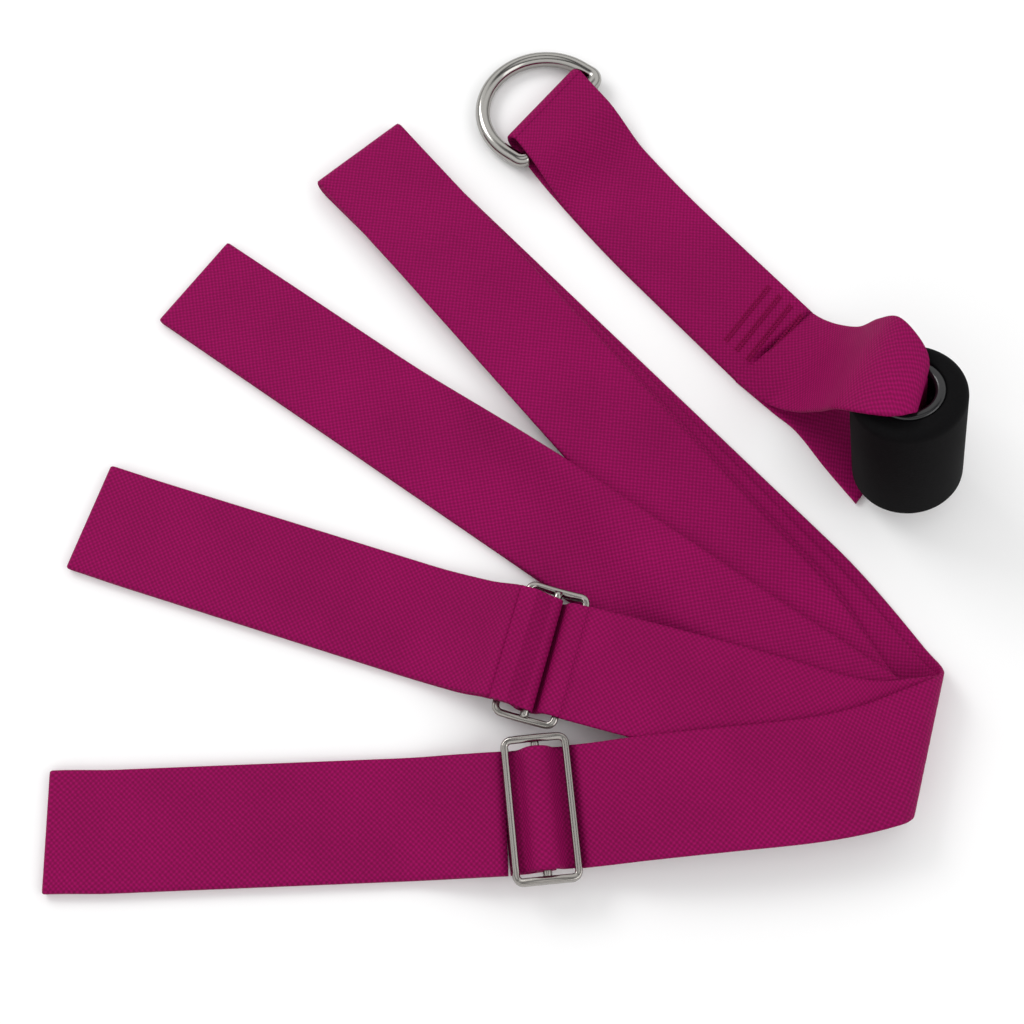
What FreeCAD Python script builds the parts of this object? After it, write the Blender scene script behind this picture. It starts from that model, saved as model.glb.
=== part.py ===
import FreeCAD, Part
import math
import os
import Sketcher

# A stretching strap lying folded on a table: one long webbing with an adjustable loop at each
# end, folded into a fan of four fingers, and a short door strap with a D-ring and a foam roller.
# Millimetres, +Z up, origin on the table at the middle of the folded outline.

# Driving dimensions, each with its own name in the spreadsheet "Sizes".
SIZES = [
    # Webbing
    ("web_width", 38),
    ("web_thick", 1.5),
    ("layer_gap", 0.35),
    # The shared line at the right where all eight layers turn back, seen from above
    ("fold_x", 124.1),
    ("fold_y", -107.2),
    ("fold_direction", 73.1),
    # How far each layer crosses that line from its middle, counted along the line
    ("front_shift", -10),
    ("rear_shift", -3.7),
    ("mid_shift", -3.2),
    ("long_top_shift", -2),
    ("long_third_shift", 2),
    ("long_second_shift", 10.5),
    ("long_bottom_shift", 17.5),
    # How far the inner turns stop short of that line
    ("second_setback", 1),
    ("third_setback", 3),
    ("inner_setback", 4.5),
    # Directions of the fingers
    ("front_heading", 185.5),
    ("front_loop_heading", 182.3),
    ("rear_heading", 164.1),
    ("rear_loop_heading", 162.2),
    ("mid_heading", 144.4),
    ("long_heading", 130.9),
    # Lengths
    ("fan_spread", 19.6),
    ("rear_run_extra", 5),
    ("front_loop_length", 153.7),
    ("rear_loop_length", 158.3),
    ("mid_length", 288),
    ("long_length", 270),
    ("crease_drop", 20),
    ("front_pin_height", 10.1),
    ("rear_pin_height", 7.05),
    # Slides
    ("slide_length", 21.7),
    ("slide_bar", 2.4),
    ("slide_side_clearance", 1.4),
    ("slide_end_plate", 2.8),
    ("slide_rise", 4),
    ("slide_edge_height", 1.2),
    ("slide_corner", 1.2),
    ("pin_diameter", 2.8),
    ("pin_clearance", 0.05),
    ("rivet_height", 0.3),
    ("webbing_clearance", 0.2),
    ("threaded_reach", 12),
    ("sewn_reach", 11),
    ("sewn_clearance", 0.3),
    # Loops where they leave the slides
    ("loop_knee", 12),
    ("loop_knee_height", 2.2),
    ("loop_landing", 33),
    ("fold_clearance", 0.35),
    # Door strap
    ("eye_x", 13.3),
    ("eye_y", 129.1),
    ("eye_direction", 50.2),
    ("door_heading", 129.7),
    ("eye_straight", 12),
    ("eye_landing", 36),
    ("door_length", 128),
    ("tack_start", 107),
    ("tack_pitch", 4.9),
    ("tack_count", 4),
    ("tack_length", 28),
    ("tack_width", 2.2),
    ("tack_height", 0.35),
    # D-ring
    ("ring_wire", 5.4),
    ("ring_side_clearance", 1.25),
    ("ring_arm", 5.5),
    ("ring_wire_clearance", 0.2),
    ("ring_direction", 53),
    ("ring_setback", 6),
    # Anchor roller
    ("roller_reach", 187.3),
    ("roller_diameter", 36),
    ("roller_length", 49.6),
    ("roller_lean", 16.9),
    ("roller_azimuth", 140),
    ("roller_edge", 2.6),
    ("roller_clearance", 0.4),
    ("tube_outer", 22.7),
    ("tube_bore", 16),
    ("tube_proud", 0.5),
    ("core_width", 12),
    ("core_thick", 5.6),
    ("core_foot", 4.9),
    ("crown_width", 24),
    ("crown_thick", 3),
    ("crown_overhang", 5),
    ("underpass_start", 150),
    ("underpass_end", 193),
]

# Lengths and angles that follow from the driving dimensions.
LAYOUT = [
    ("pitch", "Sizes.web_thick + Sizes.layer_gap"),
    ("half_width", "Sizes.web_width / 2"),
    ("fold_normal", "Sizes.fold_direction + 90"),
    ("front_run_length", "Sizes.web_width / sin(Sizes.fan_spread * 1 deg)"),
    ("rear_run_length", "front_run_length + Sizes.rear_run_extra"),
    ("pin_radius", "Sizes.pin_diameter / 2"),
    ("sewn_inner", "pin_radius + Sizes.webbing_clearance"),
    ("sewn_outer", "sewn_inner + Sizes.web_thick"),
    ("bulge_inner", "sewn_outer + Sizes.webbing_clearance"),
    ("bulge_outer", "bulge_inner + Sizes.web_thick"),
    ("slide_base", "-Sizes.slide_edge_height - Sizes.webbing_clearance"),
    ("strap_top", "slide_base - Sizes.webbing_clearance"),
    ("strap_bottom", "strap_top - Sizes.web_thick"),
    ("sewn_top", "strap_bottom - Sizes.sewn_clearance"),
    ("sewn_bottom", "sewn_top - 2 * Sizes.web_thick"),
    ("slide_inner", "Sizes.web_width + 2 * Sizes.slide_side_clearance"),
    ("slide_outer", "slide_inner + 2 * Sizes.slide_end_plate"),
    ("slide_half", "Sizes.slide_length / 2"),
    ("window_half", "slide_half - Sizes.slide_bar"),
    ("eye_inner", "Sizes.ring_wire / 2 + Sizes.ring_wire_clearance"),
    ("eye_height", "Sizes.web_thick + eye_inner"),
    ("eye_outer", "eye_inner + Sizes.web_thick"),
    ("ring_radius", "Sizes.web_width / 2 + Sizes.ring_side_clearance + Sizes.ring_wire / 2"),
    ("ring_tilt", "asin((eye_height - Sizes.ring_wire / 2) / (Sizes.ring_arm + ring_radius))"),
    ("roller_radius", "Sizes.roller_diameter / 2"),
    ("roller_foot", "Sizes.web_thick + Sizes.roller_clearance"
                    " + roller_radius * sin(Sizes.roller_lean * 1 deg)"),
]

# The eight stacked layers at the right: level counted from the table, shift and setback.
LAYERS = {
    "front_run": (7, "Sizes.front_shift", "0"),
    "rear_run": (6, "Sizes.rear_shift", "Sizes.second_setback"),
    "mid_finger_upper": (5, "Sizes.mid_shift", "Sizes.third_setback"),
    "mid_finger_lower": (4, "Sizes.mid_shift", "Sizes.inner_setback"),
    "long_finger_top": (3, "Sizes.long_top_shift", "Sizes.inner_setback"),
    "long_finger_third": (2, "Sizes.long_third_shift", "Sizes.third_setback"),
    "long_finger_second": (1, "Sizes.long_second_shift", "Sizes.second_setback"),
    "long_finger_bottom": (0, "Sizes.long_bottom_shift", "0"),
}

doc = FreeCAD.newDocument("stretching_strap")
sizes = doc.addObject("Spreadsheet::Sheet", "Sizes")
layout = doc.addObject("Spreadsheet::Sheet", "Layout")
parts = []


def fill_sheets():
    """Write the driving dimensions and the lengths that follow from them."""
    for row, (alias, value) in enumerate(SIZES, start=1):
        sizes.set(f"A{row}", alias)
        sizes.set(f"B{row}", str(value))
        sizes.setAlias(f"B{row}", alias)
    for row, (alias, formula) in enumerate(LAYOUT, start=1):
        layout.set(f"A{row}", alias)
        layout.set(f"B{row}", "=" + formula)
        layout.setAlias(f"B{row}", alias)
    doc.recompute()


def value(expression):
    """Work out an expression over the sheets as a plain number."""
    result = layout.evalExpression(expression)
    return float(getattr(result, "Value", result))


# ---------------------------------------------------------------- building blocks


def new_body(label):
    """Start a sub-part that is written to its own file."""
    body = doc.addObject("PartDesign::Body", label)
    body.Label = label
    parts.append(body)
    return body


def place(part, x, y, z, heading):
    """Put a sub-part at a point, turned about the vertical; each value is an expression."""
    up = FreeCAD.Vector(0, 0, 1)
    part.Placement = FreeCAD.Placement(FreeCAD.Vector(), FreeCAD.Rotation(up, 10))
    part.setExpression("Placement.Base.x", x)
    part.setExpression("Placement.Base.y", y)
    part.setExpression("Placement.Base.z", z)
    part.setExpression("Placement.Rotation.Angle", f"({heading}) * 1 deg")


def plane_sketch(body, role, name):
    """Make a sketch on one of the body's own origin planes."""
    plane = next(item for item in body.Origin.OriginFeatures if item.Role == role)
    sketch = body.newObject("Sketcher::SketchObject", f"{body.Name}_{name}")
    sketch.AttachmentSupport = (plane, [""])
    sketch.MapMode = "FlatFace"
    return sketch


def fix_point(sketch, geometry, vertex, x, y):
    """Hold a sketch point at two expressions."""
    for kind, expression in (("DistanceX", x), ("DistanceY", y)):
        start = value(expression)
        index = sketch.addConstraint(Sketcher.Constraint(kind, -1, 1, geometry, vertex, start))
        sketch.setExpression(f"Constraints[{index}]", expression)


def add_polygon(sketch, corners):
    """Draw a closed polygon whose corners are pairs of expressions."""
    first = sketch.GeometryCount
    points = [FreeCAD.Vector(value(x), value(y), 0) for x, y in corners]
    count = len(points)
    for i in range(count):
        sketch.addGeometry(Part.LineSegment(points[i], points[(i + 1) % count]))
    for i in range(count):
        following = first + (i + 1) % count
        sketch.addConstraint(Sketcher.Constraint("Coincident", first + i, 2, following, 1))
    for i, (x, y) in enumerate(corners):
        fix_point(sketch, first + i, 1, x, y)


def add_circle(sketch, x, y, radius):
    """Draw a circle held by three expressions."""
    centre = FreeCAD.Vector(value(x), value(y), 0)
    circle = sketch.addGeometry(Part.Circle(centre, FreeCAD.Vector(0, 0, 1), value(radius)))
    fix_point(sketch, circle, 3, x, y)
    index = sketch.addConstraint(Sketcher.Constraint("Radius", circle, value(radius)))
    sketch.setExpression(f"Constraints[{index}]", radius)


def add_half_ring(sketch, height, inner, outer):
    """Draw half a ring that bulges towards +x, with its centre at (0, height)."""
    centre = FreeCAD.Vector(0, value(height), 0)
    normal = FreeCAD.Vector(0, 0, 1)
    arcs = []
    for radius in (outer, inner):
        circle = Part.Circle(centre, normal, value(radius))
        arc = sketch.addGeometry(Part.ArcOfCircle(circle, -math.pi / 2, math.pi / 2))
        fix_point(sketch, arc, 3, "0", height)
        index = sketch.addConstraint(Sketcher.Constraint("Radius", arc, value(radius)))
        sketch.setExpression(f"Constraints[{index}]", radius)
        arcs.append(arc)
    for vertex, side in ((1, -1), (2, 1)):
        ends = [FreeCAD.Vector(0, centre.y + side * value(radius), 0) for radius in (outer, inner)]
        line = sketch.addGeometry(Part.LineSegment(ends[0], ends[1]))
        sketch.addConstraint(Sketcher.Constraint("Coincident", line, 1, arcs[0], vertex))
        sketch.addConstraint(Sketcher.Constraint("Coincident", line, 2, arcs[1], vertex))
        sketch.addConstraint(Sketcher.Constraint("DistanceX", -1, 1, line, 1, 0))
        sketch.addConstraint(Sketcher.Constraint("DistanceX", -1, 1, line, 2, 0))


def pad(body, sketch, length, symmetric=False):
    """Pad a sketch, to one side or to both."""
    feature = body.newObject("PartDesign::Pad", sketch.Name + "_pad")
    feature.Profile = sketch
    feature.SideType = "Symmetric" if symmetric else "One side"
    feature.setExpression("Length", length)
    sketch.Visibility = False
    doc.recompute()
    return feature


def cut(body, sketch, length):
    """Pocket a sketch to both sides, and make sure that it removed something."""
    before = body.Shape.Volume
    feature = body.newObject("PartDesign::Pocket", sketch.Name + "_cut")
    feature.Profile = sketch
    feature.Type = "Length"
    feature.SideType = "Symmetric"
    feature.setExpression("Length", length)
    doc.recompute()
    if body.Shape.Volume >= before - 1e-6:
        raise RuntimeError(f"{feature.Name} removes nothing")
    return feature


# ---------------------------------------------------------------- webbing

WIDE = "4 * Sizes.web_width"


def crossing(name):
    """Where a layer crosses the fold line, as expressions for x and y."""
    shift, setback = LAYERS[name][1:]
    along = "Sizes.fold_direction * 1 deg"
    x = f"Sizes.fold_x + {shift} * cos({along}) - {setback} * sin({along})"
    y = f"Sizes.fold_y + {shift} * sin({along}) + {setback} * cos({along})"
    return x, y


def ahead(x, y, heading, distance):
    """The point at a distance along a heading."""
    angle = f"({heading}) * 1 deg"
    return f"{x} + ({distance}) * cos({angle})", f"{y} + ({distance}) * sin({angle})"


def slant(angle):
    """The tangent that turns a position across the webbing into one along it."""
    return f"tan(({angle}) * 1 deg)"


def flat_band(label, x, y, z, heading, length, start_angle, end_angle):
    """A flat layer of webbing between two slanted ends."""
    body = new_body(label)
    sketch = plane_sketch(body, "XY_Plane", "outline")
    half = "Layout.half_width"
    add_polygon(sketch, [
        (f"{half} * {slant(start_angle)}", half),
        (f"-{half} * {slant(start_angle)}", f"-{half}"),
        (f"{length} - {half} * {slant(end_angle)}", f"-{half}"),
        (f"{length} + {half} * {slant(end_angle)}", half),
    ])
    pad(body, sketch, "Sizes.web_thick")
    place(body, x, y, z, heading)
    return body


def bent_band(label, x, y, heading, underside, start_angle, width="Sizes.web_width"):
    """A layer that rises and falls along its length, with a slanted start at x = 0."""
    body = new_body(label)
    sketch = plane_sketch(body, "XZ_Plane", "side")
    start_height = underside[0][1]
    bottom = [("-Layout.half_width", start_height)] + underside
    top = [(along, f"{height} + Sizes.web_thick") for along, height in reversed(bottom)]
    add_polygon(sketch, bottom + top)
    pad(body, sketch, width, symmetric=True)
    end = plane_sketch(body, "XY_Plane", "start")
    across = "Sizes.web_width"
    add_polygon(end, [
        (f"{across} * {slant(start_angle)}", across),
        (f"-{across} * {slant(start_angle)}", f"-{across}"),
        (f"-2 * {across}", f"-{across}"),
        (f"-2 * {across}", across),
    ])
    cut(body, end, WIDE)
    place(body, x, y, "0", heading)
    return body


def tip_turn(label, x, y, z, heading, radius, width="Sizes.web_width"):
    """The tight half turn at the tip of a finger; radius is at the middle of the webbing."""
    body = new_body(label)
    sketch = plane_sketch(body, "XZ_Plane", "side")
    half = "Sizes.web_thick / 2"
    add_half_ring(sketch, "0", f"{radius} - {half}", f"{radius} + {half}")
    pad(body, sketch, width, symmetric=True)
    place(body, x, y, z, heading)
    return body


def shared_turn(label, upper, lower, upper_heading, lower_heading):
    """One of the nested turns at the fold line, sheared where its two ends lie apart."""
    level_high, shift_high, setback = LAYERS[upper]
    level_low, shift_low = LAYERS[lower][:2]
    body = new_body(label)
    sketch = plane_sketch(body, "XZ_Plane", "side")
    middle = f"{level_high + level_low} * Layout.pitch / 2 + Sizes.web_thick / 2"
    radius = f"{level_high - level_low} * Layout.pitch / 2"
    half = "Sizes.web_thick / 2"
    add_half_ring(sketch, middle, f"{radius} - {half}", f"{radius} + {half}")
    pad(body, sketch, WIDE, symmetric=True)
    ends = plane_sketch(body, "YZ_Plane", "ends")
    low = f"{level_low} * Layout.pitch"
    high = f"{level_high} * Layout.pitch + Sizes.web_thick"
    for side in ("-", "+"):
        reach_low = f"Layout.half_width / cos(({lower_heading} - Layout.fold_normal) * 1 deg)"
        reach_high = f"Layout.half_width / cos(({upper_heading} - Layout.fold_normal) * 1 deg)"
        foot = f"{shift_low} {side} {reach_low}"
        head = f"{shift_high} {side} {reach_high}"
        far = f"{side}3 * Sizes.web_width"
        add_polygon(ends, [
            (far, f"{low} - 1"),
            (foot, f"{low} - 1"),
            (foot, low),
            (head, high),
            (head, f"{high} + 1"),
            (far, f"{high} + 1"),
        ])
    cut(body, ends, WIDE)
    along = "Sizes.fold_direction * 1 deg"
    x = f"Sizes.fold_x - {setback} * sin({along})"
    y = f"Sizes.fold_y + {setback} * cos({along})"
    place(body, x, y, "0", "Sizes.fold_direction - 90")
    return body


def long_finger():
    """The four flat layers of the longest finger and the two nested turns at its tip."""
    tip_x, tip_y = ahead("Sizes.fold_x", "Sizes.fold_y", "Sizes.long_heading", "Sizes.long_length")
    for name in ("long_finger_top", "long_finger_third", "long_finger_second", "long_finger_bottom"):
        x, y = crossing(name)
        along_x = f"({tip_x} - ({x}))"
        along_y = f"({tip_y} - ({y}))"
        heading = value(f"atan2({along_y}; {along_x})")
        length = f"sqrt({along_x}^2 + {along_y}^2)"
        flat_band(name, x, y, f"{LAYERS[name][0]} * Layout.pitch", str(heading), length,
                  f"{heading} - Layout.fold_normal", f"{heading} - Sizes.long_heading")
    middle = "3 * Layout.pitch / 2 + Sizes.web_thick / 2"
    for label, levels in (("long_tip_outer", 3), ("long_tip_inner", 1)):
        tip_turn(label, tip_x, tip_y, middle, "Sizes.long_heading", f"{levels} * Layout.pitch / 2")


def mid_finger():
    """Two layers that lie on the long finger, then drop over its edge to the table."""
    tip_x, tip_y = ahead(*crossing("mid_finger_upper"), "Sizes.mid_heading", "Sizes.mid_length")
    edge_x, edge_y = crossing("long_finger_top")
    crease = "(Sizes.long_heading + 90)"
    for name in ("mid_finger_upper", "mid_finger_lower"):
        level = LAYERS[name][0]
        x, y = crossing(name)
        body = new_body(name)
        drape_layer(body, x, y, edge_x, edge_y, crease, level)
    middle = "Layout.pitch / 2 + Sizes.web_thick / 2"
    tip_turn("mid_finger_tip", tip_x, tip_y, middle, "Sizes.mid_heading", "Layout.pitch / 2")


def drape_layer(body, x, y, edge_x, edge_y, crease, level):
    """A band that is level over the long finger and falls away square to its edge.

    The body's x runs square to the long finger's edge and starts on it, so one side profile
    cut along y gives the slanted crease, and the outline gives the band its own direction.
    """
    turn = f"(Sizes.mid_heading - {crease}) * 1 deg"
    from_edge = f"({crease}) * 1 deg"
    start_x = f"(({x}) - ({edge_x})) * cos({from_edge}) + (({y}) - ({edge_y})) * sin({from_edge})"
    start_y = f"(({y}) - ({edge_y})) * cos({from_edge}) - (({x}) - ({edge_x})) * sin({from_edge})"
    cap = slant("Sizes.mid_heading - Layout.fold_normal")
    setback = LAYERS[body.Label][2]
    length = f"(Sizes.mid_length - {setback} + Sizes.third_setback)"
    corners = []
    for along, across in (
        (f"Layout.half_width * {cap}", "Layout.half_width"),
        (f"-Layout.half_width * {cap}", "-Layout.half_width"),
        (length, "-Layout.half_width"),
        (length, "Layout.half_width"),
    ):
        corners.append((
            f"{start_x} + ({along}) * cos({turn}) - ({across}) * sin({turn})",
            f"{start_y} + ({along}) * sin({turn}) + ({across}) * cos({turn})",
        ))
    outline = plane_sketch(body, "XY_Plane", "outline")
    add_polygon(outline, corners)
    high = f"{level} * Layout.pitch"
    low = f"{level - 4} * Layout.pitch"
    pad(body, outline, f"{high} + Sizes.web_thick + 1")
    lip = "Layout.half_width + Sizes.fold_clearance"
    foot = f"{lip} + Sizes.crease_drop"
    near = "-2 * Sizes.mid_length"
    far = "2 * Sizes.mid_length"
    above = plane_sketch(body, "XZ_Plane", "above")
    add_polygon(above, [
        (near, f"{high} + Sizes.web_thick"),
        (lip, f"{high} + Sizes.web_thick"),
        (foot, f"{low} + Sizes.web_thick"),
        (far, f"{low} + Sizes.web_thick"),
        (far, f"{high} + Sizes.web_thick + 5"),
        (near, f"{high} + Sizes.web_thick + 5"),
    ])
    cut(body, above, "4 * Sizes.mid_length")
    below = plane_sketch(body, "XZ_Plane", "below")
    add_polygon(below, [
        (near, high),
        (lip, high),
        (foot, low),
        (far, low),
        (far, f"{low} - 5"),
        (near, f"{low} - 5"),
    ])
    cut(body, below, "4 * Sizes.mid_length")
    place(body, edge_x, edge_y, "0", crease)


def front_finger():
    """The top run from the fold to its slide, and the flat loop beyond."""
    x, y = crossing("front_run")
    length = "Layout.front_run_length"
    end = f"({length} - Sizes.threaded_reach)"
    bent_band("front_run", x, y, "Sizes.front_heading", [
        ("0", "7 * Layout.pitch"),
        (f"0.53 * {length}", "7 * Layout.pitch"),
        (f"0.80 * {length}", "6 * Layout.pitch + 0.05"),
        (f"{end} - 1", "Sizes.front_pin_height + Layout.strap_bottom"),
        (end, "Sizes.front_pin_height + Layout.strap_bottom"),
    ], "Sizes.front_heading - Layout.fold_normal")
    pin_x, pin_y = ahead(x, y, "Sizes.front_heading", length)
    slide("front", pin_x, pin_y, "Sizes.front_pin_height", "Sizes.front_heading", flipped=False)
    loop("front", pin_x, pin_y, "Sizes.front_heading", "Sizes.front_loop_heading",
         "Sizes.front_loop_length", "Sizes.front_pin_height + Layout.strap_bottom",
         "Sizes.front_pin_height + Layout.sewn_bottom")


def rear_finger():
    """The second run from the fold to its slide, which lies upside down, and its loop."""
    x, y = crossing("rear_run")
    length = "Layout.rear_run_length"
    end = f"({length} - Sizes.threaded_reach)"
    over_bars = "Sizes.rear_pin_height - Layout.strap_top"
    bent_band("rear_run", x, y, "Sizes.rear_heading", [
        ("0", "6 * Layout.pitch"),
        (f"0.54 * {length}", "6 * Layout.pitch"),
        (end, over_bars),
    ], "Sizes.rear_heading - Layout.fold_normal")
    pin_x, pin_y = ahead(x, y, "Sizes.rear_heading", length)
    slide("rear", pin_x, pin_y, "Sizes.rear_pin_height", "Sizes.rear_heading", flipped=True)
    loop("rear", pin_x, pin_y, "Sizes.rear_heading", "Sizes.rear_loop_heading",
         "Sizes.rear_loop_length", "Sizes.rear_pin_height - Layout.sewn_bottom - Sizes.web_thick",
         over_bars)


def loop(name, pin_x, pin_y, heading, loop_heading, length, upper_start, lower_start):
    """Two layers from the slide to the tip, one on the other, and the turn at the tip."""
    x, y = ahead(pin_x, pin_y, heading, "Sizes.threaded_reach")
    reach = f"({length} - Sizes.threaded_reach)"
    angle = f"{loop_heading} - {heading}"
    knee = "Sizes.loop_knee"
    landing = "Sizes.loop_landing"
    knee_gap = "2 * Sizes.web_thick + 2 * Sizes.webbing_clearance"
    bent_band(f"{name}_loop_lower", x, y, loop_heading, [
        ("0", lower_start),
        (knee, "Sizes.loop_knee_height"),
        (landing, "0"),
        (reach, "0"),
    ], angle)
    bent_band(f"{name}_loop_upper", x, y, loop_heading, [
        ("0", upper_start),
        (knee, f"Sizes.loop_knee_height + {knee_gap}"),
        (landing, "Layout.pitch"),
        (reach, "Layout.pitch"),
    ], angle)
    tip_x, tip_y = ahead(x, y, loop_heading, reach)
    middle = "Layout.pitch / 2 + Sizes.web_thick / 2"
    tip_turn(f"{name}_loop_tip", tip_x, tip_y, middle, loop_heading, "Layout.pitch / 2")


# ---------------------------------------------------------------- slides


def slide(name, x, y, height, heading, flipped):
    """A strap adjuster: pressed frame, riveted centre bar, and the webbing held in it."""
    pieces = [slide_frame(name), centre_bar(name), sewn_end(name), threaded_webbing(name)]
    for piece in pieces:
        place(piece, x, y, height, heading)
        if flipped:
            flip(piece, x, y, height, heading)


def flip(piece, x, y, height, heading):
    """Turn a placed piece upside down about its own x axis."""
    turn = FreeCAD.Rotation(FreeCAD.Vector(0, 0, 1), value(heading))
    over = FreeCAD.Rotation(FreeCAD.Vector(1, 0, 0), 180)
    for path in ("Base.x", "Base.y", "Base.z", "Rotation.Angle"):
        piece.setExpression(f"Placement.{path}", None)
    base = FreeCAD.Vector(value(x), value(y), value(height))
    piece.Placement = FreeCAD.Placement(base, turn.multiply(over))


def slide_frame(name):
    """A D-profile block with a window, so that two side bars join two rounded end plates."""
    body = new_body(f"{name}_slide_frame")
    side = plane_sketch(body, "XZ_Plane", "side")
    half = "Layout.slide_half"
    base = "Layout.slide_base"
    crown = f"{base} + Sizes.slide_rise"
    add_polygon(side, [
        (f"-{half}", base),
        (half, base),
        (half, f"{base} + Sizes.slide_edge_height"),
        (f"0.62 * {half}", f"{crown} - 0.9"),
        (f"0.25 * {half}", crown),
        (f"-0.25 * {half}", crown),
        (f"-0.62 * {half}", f"{crown} - 0.9"),
        (f"-{half}", f"{base} + Sizes.slide_edge_height"),
    ])
    pad(body, side, "Layout.slide_outer", symmetric=True)
    window = plane_sketch(body, "XY_Plane", "window")
    add_polygon(window, [
        ("-Layout.window_half", "-Layout.slide_inner / 2"),
        ("Layout.window_half", "-Layout.slide_inner / 2"),
        ("Layout.window_half", "Layout.slide_inner / 2"),
        ("-Layout.window_half", "Layout.slide_inner / 2"),
    ])
    cut(body, window, WIDE)
    hole = plane_sketch(body, "XZ_Plane", "bar_hole")
    add_circle(hole, "0", "0", "Layout.pin_radius + Sizes.pin_clearance")
    cut(body, hole, WIDE)
    round_corners(body)
    return body


def round_corners(body):
    """Round the four upright outer corners of a slide frame."""
    reach_x = value("Layout.slide_half")
    reach_y = value("Layout.slide_outer / 2")
    names = []
    for index, edge in enumerate(body.Shape.Edges, start=1):
        centre = edge.BoundBox.Center
        upright = edge.BoundBox.ZLength > 0.5 and edge.BoundBox.XLength + edge.BoundBox.YLength < 0.01
        at_corner = abs(abs(centre.x) - reach_x) < 0.01 and abs(abs(centre.y) - reach_y) < 0.01
        if upright and at_corner:
            names.append(f"Edge{index}")
    fillet_edges(body, names, "Sizes.slide_corner")


def fillet_edges(body, names, radius):
    """Round the named edges of a body."""
    base = body.Tip
    fillet = body.newObject("PartDesign::Fillet", body.Name + "_fillet")
    fillet.Base = (base, names)
    fillet.setExpression("Radius", radius)
    doc.recompute()


def centre_bar(name):
    """The round bar that the sewn end turns about, with its ends set over like rivets."""
    body = new_body(f"{name}_centre_bar")
    sketch = plane_sketch(body, "XZ_Plane", "round")
    add_circle(sketch, "0", "0", "Layout.pin_radius")
    pad(body, sketch, "Layout.slide_outer + 2 * Sizes.rivet_height", symmetric=True)
    return body


def sewn_end(name):
    """The end of the webbing turned round the centre bar and sewn back on itself."""
    body = new_body(f"{name}_sewn_end")
    sketch = plane_sketch(body, "XZ_Plane", "tail")
    reach = "Sizes.sewn_reach"
    outer = "Layout.sewn_outer"
    add_polygon(sketch, [
        ("0", f"-0.97 * {outer}"),
        (f"0.84 * {outer}", f"-0.39 * {outer}"),
        (f"1.4 * {outer}", "Layout.sewn_top"),
        (reach, "Layout.sewn_top"),
        (reach, "Layout.sewn_bottom"),
        (f"1.8 * {outer}", "Layout.sewn_bottom"),
    ])
    pad(body, sketch, "Sizes.web_width", symmetric=True)
    ring = plane_sketch(body, "XZ_Plane", "ring")
    add_circle(ring, "0", "0", outer)
    pad(body, ring, "Sizes.web_width", symmetric=True)
    bore = plane_sketch(body, "XZ_Plane", "bore")
    add_circle(bore, "0", "0", "Layout.sewn_inner")
    cut(body, bore, WIDE)
    return body


def threaded_webbing(name):
    """The running webbing where it passes the side bars and humps over the centre bar."""
    body = new_body(f"{name}_threaded_webbing")
    sketch = plane_sketch(body, "XZ_Plane", "strip")
    reach = "Sizes.threaded_reach"
    shoulder = "0.99 * Layout.bulge_outer"
    add_polygon(sketch, [
        (f"-{reach}", "Layout.strap_bottom"),
        (reach, "Layout.strap_bottom"),
        (reach, "Layout.strap_top"),
        ("1.52 * Layout.bulge_outer", "Layout.strap_top"),
        (shoulder, "0.17 * Layout.bulge_outer"),
        (f"-{shoulder}", "0.17 * Layout.bulge_outer"),
        ("-1.52 * Layout.bulge_outer", "Layout.strap_top"),
        (f"-{reach}", "Layout.strap_top"),
    ])
    pad(body, sketch, "Sizes.web_width", symmetric=True)
    hump = plane_sketch(body, "XZ_Plane", "hump")
    add_circle(hump, "0", "0", "Layout.bulge_outer")
    pad(body, hump, "Sizes.web_width", symmetric=True)
    bore = plane_sketch(body, "XZ_Plane", "bore")
    add_circle(bore, "0", "0", "Layout.bulge_inner")
    cut(body, bore, WIDE)
    mouth = plane_sketch(body, "XZ_Plane", "mouth")
    add_polygon(mouth, [
        ("-2 * Layout.bulge_inner", "Layout.strap_bottom"),
        ("-2 * Layout.bulge_inner", "2 * Layout.strap_bottom"),
        ("2 * Layout.bulge_inner", "2 * Layout.strap_bottom"),
        ("2 * Layout.bulge_inner", "Layout.strap_bottom"),
        ("Layout.bulge_inner", "0"),
        ("-Layout.bulge_inner", "0"),
    ])
    cut(body, mouth, WIDE)
    return body


# ---------------------------------------------------------------- door strap

DOOR_BACK = "(Sizes.door_heading + 180)"


def door_strap():
    """Two layers joined by bar tacks, with an eye for the ring at one end."""
    angle = "Sizes.door_heading - Sizes.eye_direction - 90"
    length = "Sizes.door_length"
    rise = "2 * Layout.eye_height - Sizes.web_thick"
    bent_band("door_strap_lower", "Sizes.eye_x", "Sizes.eye_y", DOOR_BACK, [
        ("0", "0"),
        (length, "0"),
    ], angle)
    bent_band("door_strap_upper", "Sizes.eye_x", "Sizes.eye_y", DOOR_BACK, [
        ("0", rise),
        ("Sizes.eye_straight", rise),
        ("Sizes.eye_landing", "Layout.pitch"),
        (length, "Layout.pitch"),
    ], angle)
    radius = "(Layout.eye_inner + Sizes.web_thick / 2)"
    tip_turn("door_strap_eye", "Sizes.eye_x", "Sizes.eye_y", "Layout.eye_height",
             "Sizes.eye_direction + 90", radius, f"Sizes.web_width / cos(({angle}) * 1 deg)")
    bar_tacks()
    underpass()


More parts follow.
